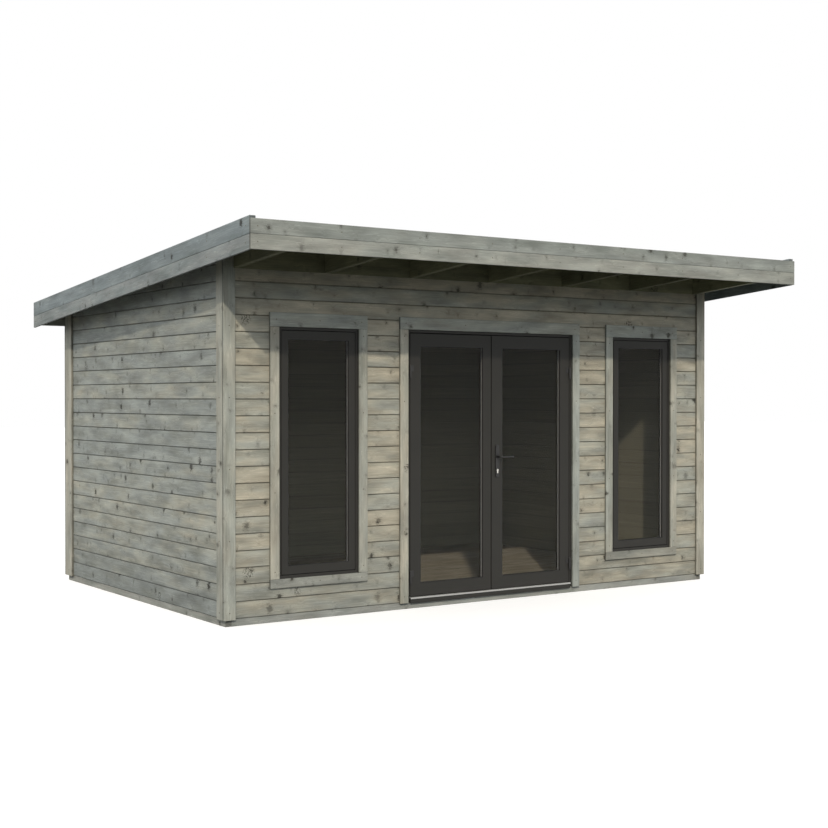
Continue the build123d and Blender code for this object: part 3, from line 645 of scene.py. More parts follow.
def lining_timber(name, along):
    """Planed boards for a wall that runs along X or Y, drawn on the wall's own coordinates."""
    material = bpy.data.materials.new(name)
    material.use_nodes = True
    tree = material.node_tree
    tree.nodes.clear()
    spot = add(tree, "ShaderNodeTexCoord").outputs["Object"]
    part = add(tree, "ShaderNodeSeparateXYZ", {0: spot}).outputs
    row = {0: part["Z"], 1: board_bottom}
    row = add(tree, "ShaderNodeMath", row, operation="SUBTRACT").outputs[0]
    row = add(tree, "ShaderNodeMath", {0: row, 1: board_cover}, operation="DIVIDE").outputs[0]
    board = add(tree, "ShaderNodeMath", {0: row}, operation="FLOOR").outputs[0]
    tone = add(tree, "ShaderNodeTexWhiteNoise", {"W": board}, noise_dimensions="1D").outputs["Value"]
    edge = add(tree, "ShaderNodeMath", {0: row, 1: 0.5}, operation="PINGPONG").outputs[0]
    # Each joint is darker in its middle as painted shade in the V, and is dented by the bump below.
    joint = {"Value": edge, 1: joint_core_share, 2: joint_rim_share, 3: 0.68, 4: 1.0}
    joint = add(tree, "ShaderNodeMapRange", joint).outputs[0]
    far = add(tree, "ShaderNodeMath", {0: board, 1: log_step}, operation="MULTIPLY").outputs[0]
    lengthwise = {0: part[along], 1: 1 / streak_length, 2: far}
    lengthwise = add(tree, "ShaderNodeMath", lengthwise, operation="MULTIPLY_ADD").outputs[0]
    crosswise = {0: part["Z"], 1: 1 / streak_width}
    crosswise = add(tree, "ShaderNodeMath", crosswise, operation="MULTIPLY").outputs[0]
    lines = add(tree, "ShaderNodeCombineXYZ", {0: lengthwise, 1: crosswise}).outputs[0]
    streak = {"Vector": lines, "Scale": 1.0, "Detail": 4.0, "Roughness": 0.6}
    streak = add(tree, "ShaderNodeTexNoise", streak, noise_dimensions="2D").outputs["Fac"]
    wood = {0: tone, 6: linear("#999782"), 7: linear("#A09E89")}
    wood = add(tree, "ShaderNodeMix", wood, data_type="RGBA").outputs[2]
    light = add(tree, "ShaderNodeMapRange", {"Value": streak, 1: 0.25, 2: 0.75, 3: 0.8, 4: 1.12}).outputs[0]
    light = add(tree, "ShaderNodeMath", {0: light, 1: joint}, operation="MULTIPLY").outputs[0]
    wood = {0: 1.0, 6: wood, 7: light}
    wood = add(tree, "ShaderNodeMix", wood, data_type="RGBA", blend_type="MULTIPLY").outputs[2]
    bump = {"Height": joint, "Strength": 0.6, "Distance": joint_depth}
    bump = add(tree, "ShaderNodeBump", bump).outputs[0]
    shader = {"Base Color": wood, "Roughness": 0.6, "Normal": bump, "Specular IOR Level": 0.3}
    shader = add(tree, "ShaderNodeBsdfPrincipled", shader).outputs[0]
    add(tree, "ShaderNodeOutputMaterial", {"Surface": shader})
    return material


for along, nodes in (
    ("X", ("front_wall_left", "front_wall_right", "front_wall_over_door", "back_wall")),
    ("Y", ("left_wall", "right_wall")),
):
    lining = lining_timber(f"planed_lining_along_{along.lower()}", along)
    for node in nodes:
        frame["nodes"][node].data.materials.clear()
        frame["nodes"][node].data.materials.append(lining)

# Floor boards
# Planed spruce boards laid across the joists and nailed, seen through the doors. Oil leaves them
# pale and warm, with a soft gloss.
floor_timber = treated_timber(
    "oiled_spruce_floor", tones=("#BCB49F", "#C5BDA9", "#CEC7B5"), stain="#AFA793",
    knot_share=0.3, knot_colour="#756A58", contrast=0.16, roughness=0.55,
)
floor_low, floor_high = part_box("floor_deck")
floor_rows = 31
floor_run = grown(
    board_run, Length=floor_high.x - floor_low.x, Cover=(floor_high.y - floor_low.y) / floor_rows,
    Thickness=floor_high.z - floor_low.z, Groove=0.0006, Gap=0.002, Wander=0.0003, Tilt=0.0,
    Coolest=0.0, Warmest=1.0, Count=floor_rows, Seed=31, Material=floor_timber,
)
stand(floor_run, Vector((0, floor_low.y, floor_high.z)), right, back)
boarded_floor = joined("floor_boards", [floor_run])
place("floor_boards", boarded_floor, floor_timber, "cabin", "floor_boards", "floor_deck")

# Corner, door and window trims
# Planed spruce boards with rounded arrises, screwed over the ends of the wall boards. They come
# from the same treatment as the wall boards and have dried a little paler.
trim_nodes = (
    "front_corner_trims", "back_corner_trims", "side_corner_trims", "window_side_trims",
    "window_head_trims", "door_side_trims", "door_head_trim",
)
trim_timber = treated_timber(
    "planed_spruce_trim", tones=("#9FA5A0", "#A6AAA2", "#ACACA1", "#B3B0A2"), stain="#90948B",
    knot_share=0.5, knot_colour="#39362F", contrast=0.13, roughness=0.76, damp=0.1,
)
trim_mesh = eased("trims", trim_nodes, edge=0.003, seed=23)
place("trims", trim_mesh, trim_timber, "cabin", "trim_boards", *trim_nodes)

# The same boards under the windows, darker and greyer.
sill_timber = treated_timber(
    "darker_spruce_sill", tones=("#8B8F8A", "#92948D", "#99998F"), stain="#7C817D",
    knot_share=0.5, knot_colour="#39362F", contrast=0.14, roughness=0.74,
)
sill_mesh = eased("sill_trims", ("window_sill_trims",), edge=0.003, seed=29)
place("sill_trims", sill_mesh, sill_timber, "cabin", "trim_boards", "window_sill_trims")

head_sides = 10
rim_share, recess_share, recess_depth_share = 0.8, 0.45, 0.9
full_turn = 6.28


def screw_tree():
    """Node tree that sets a screw head with a recess on each point of a mesh, facing outwards."""
    tree = bpy.data.node_groups.new("screw_heads", "GeometryNodeTree")
    tree.interface.new_socket("Points", in_out="INPUT", socket_type="NodeSocketGeometry")
    for name in ("Radius", "Height"):
        tree.interface.new_socket(name, in_out="INPUT", socket_type="NodeSocketFloat")
    tree.interface.new_socket("Seed", in_out="INPUT", socket_type="NodeSocketInt")
    tree.interface.new_socket("Material", in_out="INPUT", socket_type="NodeSocketMaterial")
    tree.interface.new_socket("Screws", in_out="OUTPUT", socket_type="NodeSocketGeometry")
    sizes = add(tree, "NodeGroupInput").outputs

    # One head: a flat cone with a sunk recess
    rim = add(tree, "ShaderNodeMath", {0: sizes["Radius"], 1: rim_share}, operation="MULTIPLY").outputs[0]
    head = {"Radius Top": rim, "Radius Bottom": sizes["Radius"], "Depth": sizes["Height"]}
    head["Vertices"] = head_sides
    head = add(tree, "GeometryNodeMeshCone", head).outputs
    ring = {"Mesh": head["Mesh"], "Selection": head["Top"], "Offset Scale": 0.0}
    ring = add(tree, "GeometryNodeExtrudeMesh", ring, mode="FACES").outputs
    inner = {"Geometry": ring["Mesh"], "Selection": ring["Top"], "Scale": recess_share}
    inner = add(tree, "GeometryNodeScaleElements", inner, domain="FACE").outputs[0]
    sunk = {0: sizes["Height"], 1: -recess_depth_share}
    sunk = add(tree, "ShaderNodeMath", sunk, operation="MULTIPLY").outputs[0]
    recess = {"Mesh": inner, "Selection": ring["Top"], "Offset Scale": sunk}
    screw = add(tree, "GeometryNodeExtrudeMesh", recess, mode="FACES").outputs["Mesh"]

    # A head on each point, turned by chance
    facing = {"Name": "facing"}
    facing = add(tree, "GeometryNodeInputNamedAttribute", facing, data_type="FLOAT_VECTOR").outputs[0]
    outward = add(tree, "FunctionNodeAlignRotationToVector", {"Vector": facing}, axis="Z").outputs[0]
    spin = {2: 0.0, 3: full_turn, "Seed": sizes["Seed"]}
    spin = add(tree, "FunctionNodeRandomValue", spin, data_type="FLOAT").outputs[1]
    spin = add(tree, "ShaderNodeCombineXYZ", {"Z": spin}).outputs[0]
    spin = add(tree, "FunctionNodeEulerToRotation", {0: spin}).outputs[0]
    turned = {"Rotation": outward, "Rotate By": spin}
    turned = add(tree, "FunctionNodeRotateRotation", turned, rotation_space="LOCAL").outputs[0]
    screws = {"Points": sizes["Points"], "Instance": screw, "Rotation": turned}
    screws = add(tree, "GeometryNodeInstanceOnPoints", screws).outputs[0]
    screws = add(tree, "GeometryNodeRealizeInstances", {"Geometry": screws}).outputs[0]
    screws = {"Geometry": screws, "Material": sizes["Material"]}
    screws = add(tree, "GeometryNodeSetMaterial", screws).outputs[0]
    add(tree, "NodeGroupOutput", {0: screws})
    return tree


screw_end = 0.05


def board_screws(mesh, pitch, lean=0.0):
    """Places for screws along the middle of each board of a mesh, on the face away from the room."""
    solid = bmesh.new()
    solid.from_mesh(mesh)
    spots = []
    for board, low, high, (along, across, through) in boards_of(solid):
        middle = (low + high) / 2
        outer = high[through] if middle[through] > 0 else low[through]
        length = high[along] - low[along]
        count = max(2, round(length / pitch) + 1)
        for number in range(count):
            spot = middle.copy()
            spot[along] = low[along] + screw_end + (length - 2 * screw_end) * number / (count - 1)
            spot[across] -= lean * (spot[along] - middle[along])
            spot[through] = outer
            facing = Vector((0, 0, 0))
            facing[through] = 1.0 if outer == high[through] else -1.0
            spots.append((spot, facing))
    solid.free()
    return spots


gloss_spread = 0.08


def fine_grit(name, colour, roughness, metallic, grit, drawn=1.0):
    """Plated, painted or moulded surface with a fine grit in its gloss, drawn out along X if extruded."""
    material = bpy.data.materials.new(name)
    material.use_nodes = True
    tree = material.node_tree
    tree.nodes.clear()
    spot = add(tree, "ShaderNodeTexCoord").outputs["Object"]
    spot = {0: spot, 1: (1 / (grit * drawn), 1 / grit, 1 / grit)}
    spot = add(tree, "ShaderNodeVectorMath", spot, operation="MULTIPLY").outputs[0]
    speck = add(tree, "ShaderNodeTexNoise", {"Vector": spot, "Scale": 1.0, "Detail": 3.0}).outputs["Fac"]
    gloss = {"Value": speck, 1: 0.3, 2: 0.7, 3: roughness - gloss_spread, 4: roughness + gloss_spread}
    gloss = add(tree, "ShaderNodeMapRange", gloss).outputs[0]
    shade = add(tree, "ShaderNodeMapRange", {"Value": speck, 1: 0.3, 2: 0.7, 3: 0.85, 4: 1.1}).outputs[0]
    tint = {0: 1.0, 6: linear(colour), 7: shade}
    tint = add(tree, "ShaderNodeMix", tint, data_type="RGBA", blend_type="MULTIPLY").outputs[2]
    shader = {"Base Color": tint, "Roughness": gloss, "Metallic": metallic}
    shader = add(tree, "ShaderNodeBsdfPrincipled", shader).outputs[0]
    add(tree, "ShaderNodeOutputMaterial", {"Surface": shader})
    return material


# Zinc-plated screws with a green-brown coat against the salts in the timber, dulled outdoors. The
# grit of this and the other plated and painted metals is drawn as coarse as it needs to show.
screw_heads = screw_tree()
coated_screw = fine_grit("coated_screw", "#6B685C", roughness=0.5, metallic=0.6, grit=0.001)
trim_screw_pitch = 0.52
trim_screws = grown(
    screw_heads, board_screws(trim_mesh, trim_screw_pitch) + board_screws(sill_mesh, trim_screw_pitch),
    Radius=0.0042, Height=0.0009, Seed=3, Material=coated_screw,
)
place("trim_screws", trim_screws, coated_screw, "cabin", "trim_boards")


# Window and door frames
# Laminated softwood sprayed with anthracite paint, satin, with rounded arrises. The sash sits in
# the frame behind a narrow shadow gap. The paint's orange peel is drawn as coarse as it needs to show.
film_patch = 0.25
peel_size, peel_depth = 0.004, 0.0004


def satin_paint(name, colour, dust):
    """Sprayed satin paint over timber: fine orange peel, a little dust and uneven gloss."""
    material = bpy.data.materials.new(name)
    material.use_nodes = True
    tree = material.node_tree
    tree.nodes.clear()
    spot = add(tree, "ShaderNodeTexCoord").outputs["Object"]
    cloud = {"Vector": spot, "Scale": 1 / film_patch, "Detail": 4.0}
    cloud = add(tree, "ShaderNodeTexNoise", cloud).outputs["Fac"]
    peel = {"Vector": spot, "Scale": 1 / peel_size, "Detail": 1.0}
    peel = add(tree, "ShaderNodeTexNoise", peel).outputs["Fac"]
    film = add(tree, "ShaderNodeMapRange", {"Value": cloud, 1: 0.4, 2: 0.75, 3: 0.0, 4: 0.3}).outputs[0]
    shade = {0: film, 6: linear(colour), 7: linear(dust)}
    shade = add(tree, "ShaderNodeMix", shade, data_type="RGBA").outputs[2]
    gloss = add(tree, "ShaderNodeMapRange", {"Value": cloud, 1: 0.3, 2: 0.7, 3: 0.4, 4: 0.52}).outputs[0]
    bump = {"Height": peel, "Strength": 0.12, "Distance": peel_depth}
    bump = add(tree, "ShaderNodeBump", bump).outputs[0]
    shader = {"Base Color": shade, "Roughness": gloss, "Normal": bump, "Specular IOR Level": 0.15}
    shader = add(tree, "ShaderNodeBsdfPrincipled", shader).outputs[0]
    add(tree, "ShaderNodeOutputMaterial", {"Surface": shader})
    return material


anthracite = satin_paint("anthracite_satin_paint", colour="#343432", dust="#3F3E3B")
frame_nodes = ("window_frames", "window_sashes", "door_jambs", "door_head", "door_sill")
frame_mesh = eased("dark_frames", frame_nodes, edge=0.002, seed=41)
place("dark_frames", frame_mesh, anthracite, "cabin", "dark_frame", *frame_nodes)
for body, node in (("left_door", "left_leaf"), ("right_door", "right_leaf")):
    leaf_mesh = eased(node + "_frame", (node,), edge=0.002, seed=43)
    place(node + "_frame", leaf_mesh, anthracite, body, "dark_frame", node)


# Glazing
# Sealed double-glazed units: two sheets of clear float glass either side of an aluminium spacer,
# held in a groove with a black rubber seal on the outer and inner face.
def bar_ring(solid, across, levels, width, depths):
    """Adds a rectangular frame of mitred bars between two pairs of limits and two depths."""
    loops = []
    for inset in (0, width):
        for depth in depths:
            loop = [
                solid.verts.new((across[0] + inset, depth, levels[0] + inset)),
                solid.verts.new((across[1] - inset, depth, levels[0] + inset)),
                solid.verts.new((across[1] - inset, depth, levels[1] - inset)),
                solid.verts.new((across[0] + inset, depth, levels[1] - inset)),
            ]
            loops.append(loop)
    outer_front, outer_back, inner_front, inner_back = loops
    for near, far in (
        (outer_front, inner_front), (outer_back, outer_front),
        (inner_back, outer_back), (inner_front, inner_back),
    ):
        for corner in range(4):
            after = (corner + 1) % 4
            solid.faces.new((near[corner], near[after], far[after], far[corner]))


ground_edge = 0.0008


def sheet_of(solid, across, levels, depths):
    """Adds a flat sheet with ground edges between two pairs of limits and two depths."""
    made = bmesh.ops.create_cube(solid, size=1)["verts"]
    for vert in made:
        vert.co.x = across[0] if vert.co.x < 0 else across[1]
        vert.co.y = depths[0] if vert.co.y < 0 else depths[1]
        vert.co.z = levels[0] if vert.co.z < 0 else levels[1]
    arrises = list({edge for vert in made for edge in vert.link_edges})
    bmesh.ops.bevel(solid, geom=arrises, offset=ground_edge, segments=1, affect="EDGES")


# Clear float glass, slightly green in its depth, with the faint uneven gloss of wiped panes.
wipe_size = 0.3
float_glass = bpy.data.materials.new("float_glass")
float_glass.use_nodes = True
glass_tree = float_glass.node_tree
glass_tree.nodes.clear()
glass_spot = add(glass_tree, "ShaderNodeTexCoord").outputs["Object"]
wiped = {"Vector": glass_spot, "Scale": 1 / wipe_size, "Detail": 3.0}
wiped = add(glass_tree, "ShaderNodeTexNoise", wiped).outputs["Fac"]
wiped = add(glass_tree, "ShaderNodeMapRange", {"Value": wiped, 1: 0.35, 2: 0.7, 3: 0.0, 4: 0.05}).outputs[0]
clear = {"Base Color": linear("#0E1312"), "Roughness": wiped, "Alpha": 0.1, "IOR": 1.5}
clear = add(glass_tree, "ShaderNodeBsdfPrincipled", clear).outputs[0]
add(glass_tree, "ShaderNodeOutputMaterial", {"Surface": clear})

# Mill aluminium, extruded and left plain: pale grey and dull. Black rubber, moulded: matt.
spacer_metal = fine_grit("mill_aluminium_spacer", "#B4B5B4", roughness=0.45, metallic=0.25, grit=0.003)
seal_rubber = fine_grit("black_seal_rubber", "#151515", roughness=0.7, metallic=0.0, grit=0.002)
glass_sheet = 0.004
spacer_width = 0.0145
seal_width = 0.005
seal_set_back = 0.004
bite = 0.0115
window_pane_width = 0.518
leaf_front, leaf_back = (corner.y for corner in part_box("left_leaf"))
for node, body in (
    ("window_panes", "cabin"), ("left_leaf_glass", "left_door"), ("right_leaf_glass", "right_door"),
):
    low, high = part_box(node)
    spans = [(low.x, high.x)]
    if node == "window_panes":
        spans = [(low.x, low.x + window_pane_width), (high.x - window_pane_width, high.x)]
    levels = (low.z, high.z)
    light_levels = (low.z + bite, high.z - bite)
    sheets, spacers, seals = bmesh.new(), bmesh.new(), bmesh.new()
    for across in spans:
        sheet_of(sheets, across, levels, (low.y, low.y + glass_sheet))
        sheet_of(sheets, across, levels, (high.y - glass_sheet, high.y))
        bar_ring(spacers, across, levels, spacer_width, (low.y + glass_sheet, high.y - glass_sheet))
        light = (across[0] + bite, across[1] - bite)
        bar_ring(seals, light, light_levels, seal_width, (leaf_front + seal_set_back, low.y))
        bar_ring(seals, light, light_levels, seal_width, (high.y, leaf_back - seal_set_back))
    for name, solid, material, slot in (
        (node + "_sheets", sheets, float_glass, "glazing"),
        (node + "_spacers", spacers, spacer_metal, "glazing"),
        (node + "_seals", seals, seal_rubber, "dark_frame"),
    ):
        bmesh.ops.recalc_face_normals(solid, faces=solid.faces)
        mesh = bpy.data.meshes.new(name)
        solid.to_mesh(mesh)
        solid.free()
        place(name, mesh, material, body, slot, *([node] if solid is sheets else []))

# Threshold
# An extruded aluminium strip on the painted sill, with an upstand behind the leaves. Its nose laps
# over the sill's edge and shows as a thin light line under the doors.
# Mill aluminium, extruded: fine draw lines along its length, as wide as they need to be to show.
threshold_metal = fine_grit(
    "mill_aluminium", "#B5B6B4", roughness=0.5, metallic=0.6, grit=0.0012, drawn=120
)
threshold_mesh = eased("threshold_strip", ("door_threshold",), edge=0.001, seed=51)
sill_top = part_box("door_sill")[1].z
nose_lift = 0.0065
for vert in threshold_mesh.vertices:
    if vert.co.z < sill_top - nose_lift:
        vert.co.z += nose_lift
place("threshold_strip", threshold_mesh, threshold_metal, "cabin", "threshold_metal", "door_threshold")


# Hinges, handle and lock
# Steel lift-off hinges and a lever handle on long plates, powder-coated black, round a
# nickel-plated profile cylinder.
def rounded(name, node, edge):
    """Mesh of a turned or bent CAD node with smooth round faces and eased rims."""
    mesh = eased(name, (node,), edge, seed=61)
    mesh.polygons.foreach_set("use_smooth", [True] * len(mesh.polygons))
    mesh.set_sharp_from_angle(angle=arris_angle)
    return mesh


# Black powder coat on steel: a satin film with a fine grain. Nickel plate: bright, a little clouded.
black_steel = fine_grit("black_powder_coat", "#1A1A1A", roughness=0.42, metallic=0.0, grit=0.0015)
nickel = fine_grit("nickel_plate", "#D8D5CE", roughness=0.25, metallic=1.0, grit=0.002)
fittings = {}
for node, body, material, slot, edge in (
    ("frame_hinges", "cabin", black_steel, "black_metal", 0.0008),
    ("left_leaf_hinges", "left_door", black_steel, "black_metal", 0.0008),
    ("right_leaf_hinges", "right_door", black_steel, "black_metal", 0.0008),
    ("handle_plates", "right_door", black_steel, "black_metal", 0.0015),
    ("lock_cylinder", "right_door", nickel, "lock_metal", 0.0005),
    ("lever_handles", "lever", black_steel, "black_metal", 0.0008),
):
    fittings[node] = rounded(node + "_fitting", node, edge)
    place(node + "_fitting", fittings[node], material, body, slot, node)

# The lever's spindle is turned down a little inside the plates, so that it turns clear of them.
joints = frame["record"]["behaviour"]["joints"]
lever_joint = next(joint for joint in joints if joint["name"] == "lever_turn")
spindle_x, _, spindle_z = lever_joint["pos_m"]
spindle_reach, spindle_ease_share = 0.0058, 0.12
for vert in fittings["lever_handles"].vertices:
    off = Vector((vert.co.x - spindle_x, 0, vert.co.z - spindle_z))
    if off.length < spindle_reach:
        vert.co -= off * spindle_ease_share

# Blackened countersunk screws: two in each hinge plate, and two through the handle's inner plate.
blackened = fine_grit("blackened_screw", "#3C3B39", roughness=0.4, metallic=0.8, grit=0.001)
outward = Vector((0, -1, 0))
hinge_rise, hinge_drop = 0.144, 0.28
plate_thickness = 0.003
leaf_plate_inset, frame_plate_inset = 0.017, -0.018
plate_screw_steps = (0.012, 0.033)
fitting_spots = {"cabin": [], "left_door": [], "right_door": []}
for body, node, side in (("left_door", "left_leaf", -1), ("right_door", "right_leaf", 1)):
    low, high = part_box(node)
    edge = high.x if side > 0 else low.x
    for level in (low.z + hinge_rise, high.z - hinge_drop):
        for carrier, inset, turn in ((body, leaf_plate_inset, 1), ("cabin", frame_plate_inset, -1)):
            for step in plate_screw_steps:
                spot = Vector((edge - side * inset, low.y - plate_thickness, level + turn * step))
                fitting_spots[carrier].append((spot, outward))
plate_low, plate_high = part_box("handle_plates")
plate_screw_end = 0.02
for level in (plate_low.z + plate_screw_end, plate_high.z - plate_screw_end):
    spot = Vector(((plate_low.x + plate_high.x) / 2, plate_high.y, level))
    fitting_spots["right_door"].append((spot, -outward))
for body, spots in fitting_spots.items():
    mesh = grown(screw_heads, spots, Radius=0.0032, Height=0.0006, Seed=7, Material=blackened)
    place(body + "_fitting_screws", mesh, blackened, body, "black_metal")

# The cylinder's plug turns in its round head, with a keyway cut into its face on both sides. The keyway's
# floor is a thin black plate, painted shade in the slot.
lock_low, lock_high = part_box("lock_cylinder")
lock_radius = 0.0085
plug_radius, plug_stand = 0.006, 0.0005
keyway_half, keyway_reach = 0.0011, 0.0042
plug_points = 24
keyway_shade_depth = 0.0002
plugs, painted_keyway_shade = bmesh.new(), bmesh.new()
for face, side in ((lock_low.y, -1), (lock_high.y, 1)):
    centre = Vector(((lock_low.x + lock_high.x) / 2, face, lock_high.z - lock_radius))
    rim, lip, root, shade, seat = [], [], [], [], []
    for number in range(plug_points):
        angle = 2 * math.pi * (number + 0.5) / plug_points
        round_spot = centre + plug_radius * Vector((math.cos(angle), 0, math.sin(angle)))
        notch = max(-keyway_half, min(keyway_half, plug_radius * math.cos(angle)))
        slot_spot = centre + Vector((notch, 0, keyway_reach * math.sin(angle)))
        rim.append(plugs.verts.new(round_spot))
        lip.append(plugs.verts.new(slot_spot + Vector((0, side * plug_stand, 0))))
        root.append(plugs.verts.new(slot_spot))
        shade.append(painted_keyway_shade.verts.new(slot_spot + Vector((0, side * keyway_shade_depth, 0))))
        seat.append(painted_keyway_shade.verts.new(slot_spot))
    for solid, outer, inner in (
        (plugs, rim, lip), (plugs, lip, root), (plugs, root, rim), (painted_keyway_shade, shade, seat),
    ):
        for number in range(plug_points):
            after = (number + 1) % plug_points
            solid.faces.new((outer[number], outer[after], inner[after], inner[number]))
    painted_keyway_shade.faces.new(shade)
    painted_keyway_shade.faces.new(seat)
# The keyway plates take black rubber as painted shade.
for name, solid, material in (("lock_plugs", plugs, nickel), ("painted_keyway_shade", painted_keyway_shade, seal_rubber)):
    bmesh.ops.recalc_face_normals(solid, faces=solid.faces)
    mesh = bpy.data.meshes.new(name)
    solid.to_mesh(mesh)
    solid.free()
    place(name, mesh, material, "right_door", "lock_metal")

# Roof frame
# Treated rafters on edge from front to back with blocks between them over the walls, nailed, and
# tongued boards across them that show from below under the eaves.
# Treated softwood under the roof, greener and darker than the boards in the sun as painted shade.
roof_timber = treated_timber(
    "roof_timber_painted_shade", tones=("#6D6F58", "#7B7C64", "#888A6F"), stain="#616250",
    knot_share=0.45, knot_colour="#24231A", contrast=0.18, roughness=0.8,
)
for name, node, lean in (("rafter_timbers", "rafters", roof_slope), ("eave_timbers", "eave_blocks", 0.0)):
    roof_mesh = eased(name, (node,), edge=0.003, seed=71, lean=lean)
    place(name, roof_mesh, roof_timber, "cabin", "roof_timber", node)

deck_low, deck_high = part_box("roof_deck")
deck_rows = 36
deck_run = grown(
    board_run, Length=deck_high.x - deck_low.x, Cover=(deck_high.y - deck_low.y) / deck_rows,
    Thickness=deck_bottom - felt_thickness, Groove=0.004, Gap=0.001, Wander=0.0, Tilt=0.0,
    Coolest=0.0, Warmest=1.0, Count=deck_rows, Seed=73, Material=roof_timber,
)


def lay_on_slope(mesh, start_y, below):
    """Moves a level run of boards or felt to a layer of the roof and leans it with the fall."""
    leaned = Matrix.Translation((0, start_y, roof_height(start_y, below)))
    leaned[2][1] = -roof_slope
    mesh.transform(leaned)
    return mesh


deck_mesh = joined("roof_boards", [lay_on_slope(deck_run, deck_low.y, felt_thickness)])
place("roof_boards", deck_mesh, roof_timber, "cabin", "roof_timber", "roof_deck")

# Roof felt
# Bitumen felt with a grey mineral face, laid in strips from the back up, each lapped over the
# one below and nailed along the lap, with a ragged dark line along each lap's edge. The slate granules are
# drawn as coarse as they need to show.
felt_strips = 5
felt_cover = (felt_high.y - felt_low.y) / felt_strips
felt_step = 0.002
felt_lap = 0.06
lap_line_width = 0.012
granule, granule_depth = 0.004, 0.0015
wash_size = 0.6
lap_fray_size, lap_fray_share = 0.08, 1.6
slate_grit = bpy.data.materials.new("mineral_faced_felt")
slate_grit.use_nodes = True
felt_tree = slate_grit.node_tree
felt_tree.nodes.clear()
felt_spot = add(felt_tree, "ShaderNodeTexCoord").outputs["Object"]
chips = add(felt_tree, "ShaderNodeTexVoronoi", {"Vector": felt_spot, "Scale": 1 / granule})
chip_shade = add(felt_tree, "ShaderNodeSeparateColor", {0: chips.outputs["Color"]}).outputs[0]
wash = {"Vector": felt_spot, "Scale": 1 / wash_size, "Detail": 4.0}
wash = add(felt_tree, "ShaderNodeTexNoise", wash).outputs["Fac"]
felt_colour = {0: chip_shade, 6: linear("#3D3F3E"), 7: linear("#646764")}
felt_colour = add(felt_tree, "ShaderNodeMix", felt_colour, data_type="RGBA").outputs[2]
wash = add(felt_tree, "ShaderNodeMapRange", {"Value": wash, 1: 0.3, 2: 0.7, 3: 0.9, 4: 1.06}).outputs[0]
strip_tone = add(felt_tree, "ShaderNodeAttribute", attribute_name="tone").outputs["Fac"]
strip_tone = add(felt_tree, "ShaderNodeMapRange", {"Value": strip_tone, 3: 0.9, 4: 1.12}).outputs[0]
wash = add(felt_tree, "ShaderNodeMath", {0: wash, 1: strip_tone}, operation="MULTIPLY").outputs[0]
felt_colour = {0: 1.0, 6: felt_colour, 7: wash}
felt_colour = add(felt_tree, "ShaderNodeMix", felt_colour, data_type="RGBA", blend_type="MULTIPLY").outputs[2]
# A ragged dark line along each lap's edge, darkest at the edge.
felt_y = add(felt_tree, "ShaderNodeSeparateXYZ", {0: felt_spot}).outputs["Y"]
past_lap = {0: felt_y, 1: felt_low.y + felt_lap / 2}
past_lap = add(felt_tree, "ShaderNodeMath", past_lap, operation="SUBTRACT").outputs[0]
past_lap = {0: past_lap, 1: felt_cover}
past_lap = add(felt_tree, "ShaderNodeMath", past_lap, operation="FLOORED_MODULO").outputs[0]
lap_fray = {"Vector": felt_spot, "Scale": 1 / lap_fray_size, "Detail": 2.0}
lap_fray = add(felt_tree, "ShaderNodeTexNoise", lap_fray).outputs["Fac"]
past_lap = {0: lap_fray, 1: -lap_fray_share * lap_line_width, 2: past_lap}
past_lap = add(felt_tree, "ShaderNodeMath", past_lap, operation="MULTIPLY_ADD").outputs[0]
lap_line = {"Value": past_lap, 1: 0.0, 2: lap_line_width / 3, 3: 0.85, 4: 0.0}
lap_line = add(felt_tree, "ShaderNodeMapRange", lap_line).outputs[0]
felt_colour = {0: lap_line, 6: felt_colour, 7: linear("#191A1A")}
felt_colour = add(felt_tree, "ShaderNodeMix", felt_colour, data_type="RGBA").outputs[2]
felt_bump = {"Height": chips.outputs["Distance"], "Strength": 0.6, "Distance": granule_depth}
felt_bump = add(felt_tree, "ShaderNodeBump", felt_bump).outputs[0]
felt_face = {"Base Color": felt_colour, "Roughness": 0.92, "Normal": felt_bump, "Specular IOR Level": 0.2}
felt_face = add(felt_tree, "ShaderNodeBsdfPrincipled", felt_face).outputs[0]
add(felt_tree, "ShaderNodeOutputMaterial", {"Surface": felt_face})

felt_run = grown(
    board_run, Length=felt_high.x - felt_low.x, Cover=felt_cover, Thickness=felt_thickness - felt_step,
    Groove=0.0005, Gap=-felt_lap, Wander=0.0, Tilt=math.atan(felt_step / felt_cover), Coolest=0.0,
    Warmest=1.0, Count=felt_strips, Seed=79, Material=slate_grit,
)
lay_on_slope(felt_run, felt_low.y, felt_step / 2)
felt_mesh = joined("felt_strips", [felt_run], (felt_low, -back), (felt_high, back))
place("felt_strips", felt_mesh, slate_grit, "cabin", "roof_covering", "roof_felt")

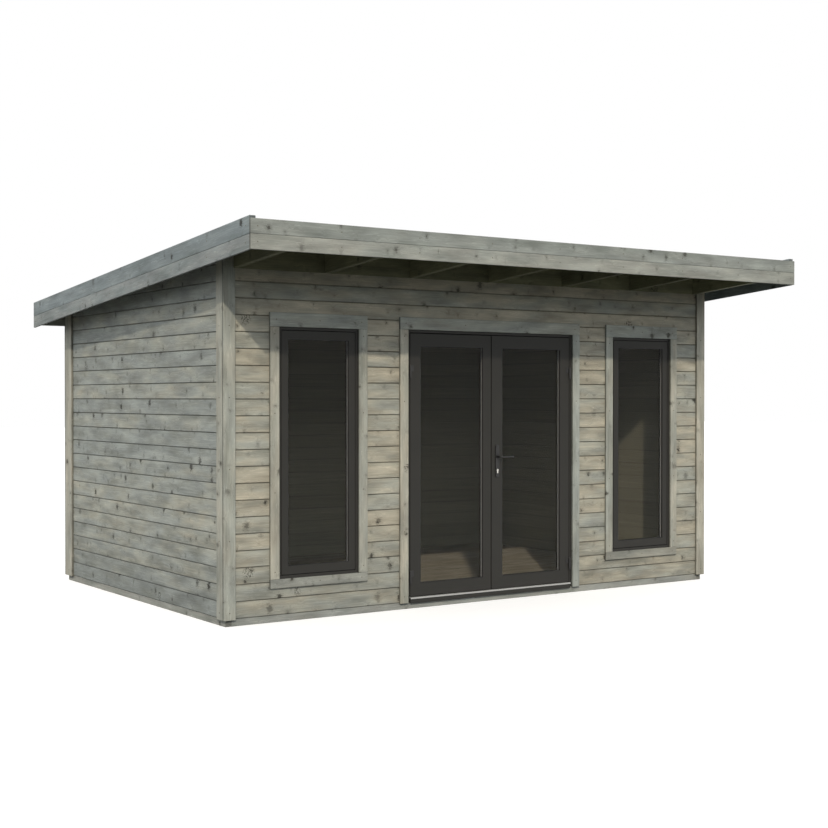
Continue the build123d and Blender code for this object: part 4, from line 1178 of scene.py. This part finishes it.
# Galvanised clout nails in a row along each lap, dulled by weather.
nail_zinc = fine_grit("dull_galvanised_nail", "#8E9192", roughness=0.55, metallic=0.7, grit=0.001)
nail_pitch = 0.15
nail_inset = 0.02
sight_height = 1
felt_solid = bmesh.new()
felt_solid.from_mesh(felt_mesh)
felt_surface = BVHTree.FromBMesh(felt_solid)
felt_solid.free()
nail_count = int((felt_high.x - felt_low.x) / nail_pitch)
nail_spots = []
for strip in range(1, felt_strips):
    lap_edge = felt_low.y + strip * felt_cover + felt_lap / 2
    for number in range(nail_count):
        nail_x = felt_low.x + nail_pitch * (number + 0.5)
        above = Vector((nail_x, lap_edge - nail_inset, felt_high.z + sight_height))
        nail_spots.append(felt_surface.ray_cast(above, -up)[:2])
felt_nails = grown(screw_heads, nail_spots, Radius=0.0055, Height=0.001, Seed=11, Material=nail_zinc)
place("felt_nails", felt_nails, nail_zinc, "cabin", "roof_covering")

# Fascias and edge battens
# Two planed boards one over the other round the roof's edge, screwed to the rafter ends and the
# roof boards, with a batten behind the raised sides.
# Planed, treated spruce, weathered a little more than the trims.
fascia_timber = treated_timber(
    "planed_spruce_fascia", tones=("#8F9591", "#979B95", "#A0A199"), stain="#7E857F",
    knot_share=0.55, knot_colour="#33312B", contrast=0.13, roughness=0.76,
)
level_fascias = ("front_fascia_upper", "front_fascia_lower", "back_fascia")
leaning_fascias = ("side_fascias_upper", "side_fascias_lower", "roof_edge_battens")
level_mesh = eased("level_fascias", level_fascias, edge=0.0035, seed=83)
leaning_mesh = eased("leaning_fascias", leaning_fascias, edge=0.0035, seed=89, lean=roof_slope)
fascia_screw_pitch = 0.6
fascia_screws = board_screws(level_mesh, fascia_screw_pitch)
for spot, facing in board_screws(leaning_mesh, fascia_screw_pitch, roof_slope):
    if abs(spot.x) > felt_high.x:
        fascia_screws.append((spot, facing))
fascia_screws = grown(
    screw_heads, fascia_screws, Radius=0.0042, Height=0.0009, Seed=5, Material=coated_screw
)
place("fascia_screws", fascia_screws, coated_screw, "cabin", "fascia_boards")
place("level_fascias", level_mesh, fascia_timber, "cabin", "fascia_boards", *level_fascias)

# The same boards on the sides, cooler and darker as painted shade.
shaded_side_fascia_timber = treated_timber(
    "side_spruce_fascia_painted_shade", tones=("#808A8D", "#879091", "#909594"), stain="#717C7B",
    knot_share=0.55, knot_colour="#2D2E2B", contrast=0.13, roughness=0.76,
)
place("leaning_fascias", leaning_mesh, shaded_side_fascia_timber, "cabin", "fascia_boards", *leaning_fascias)
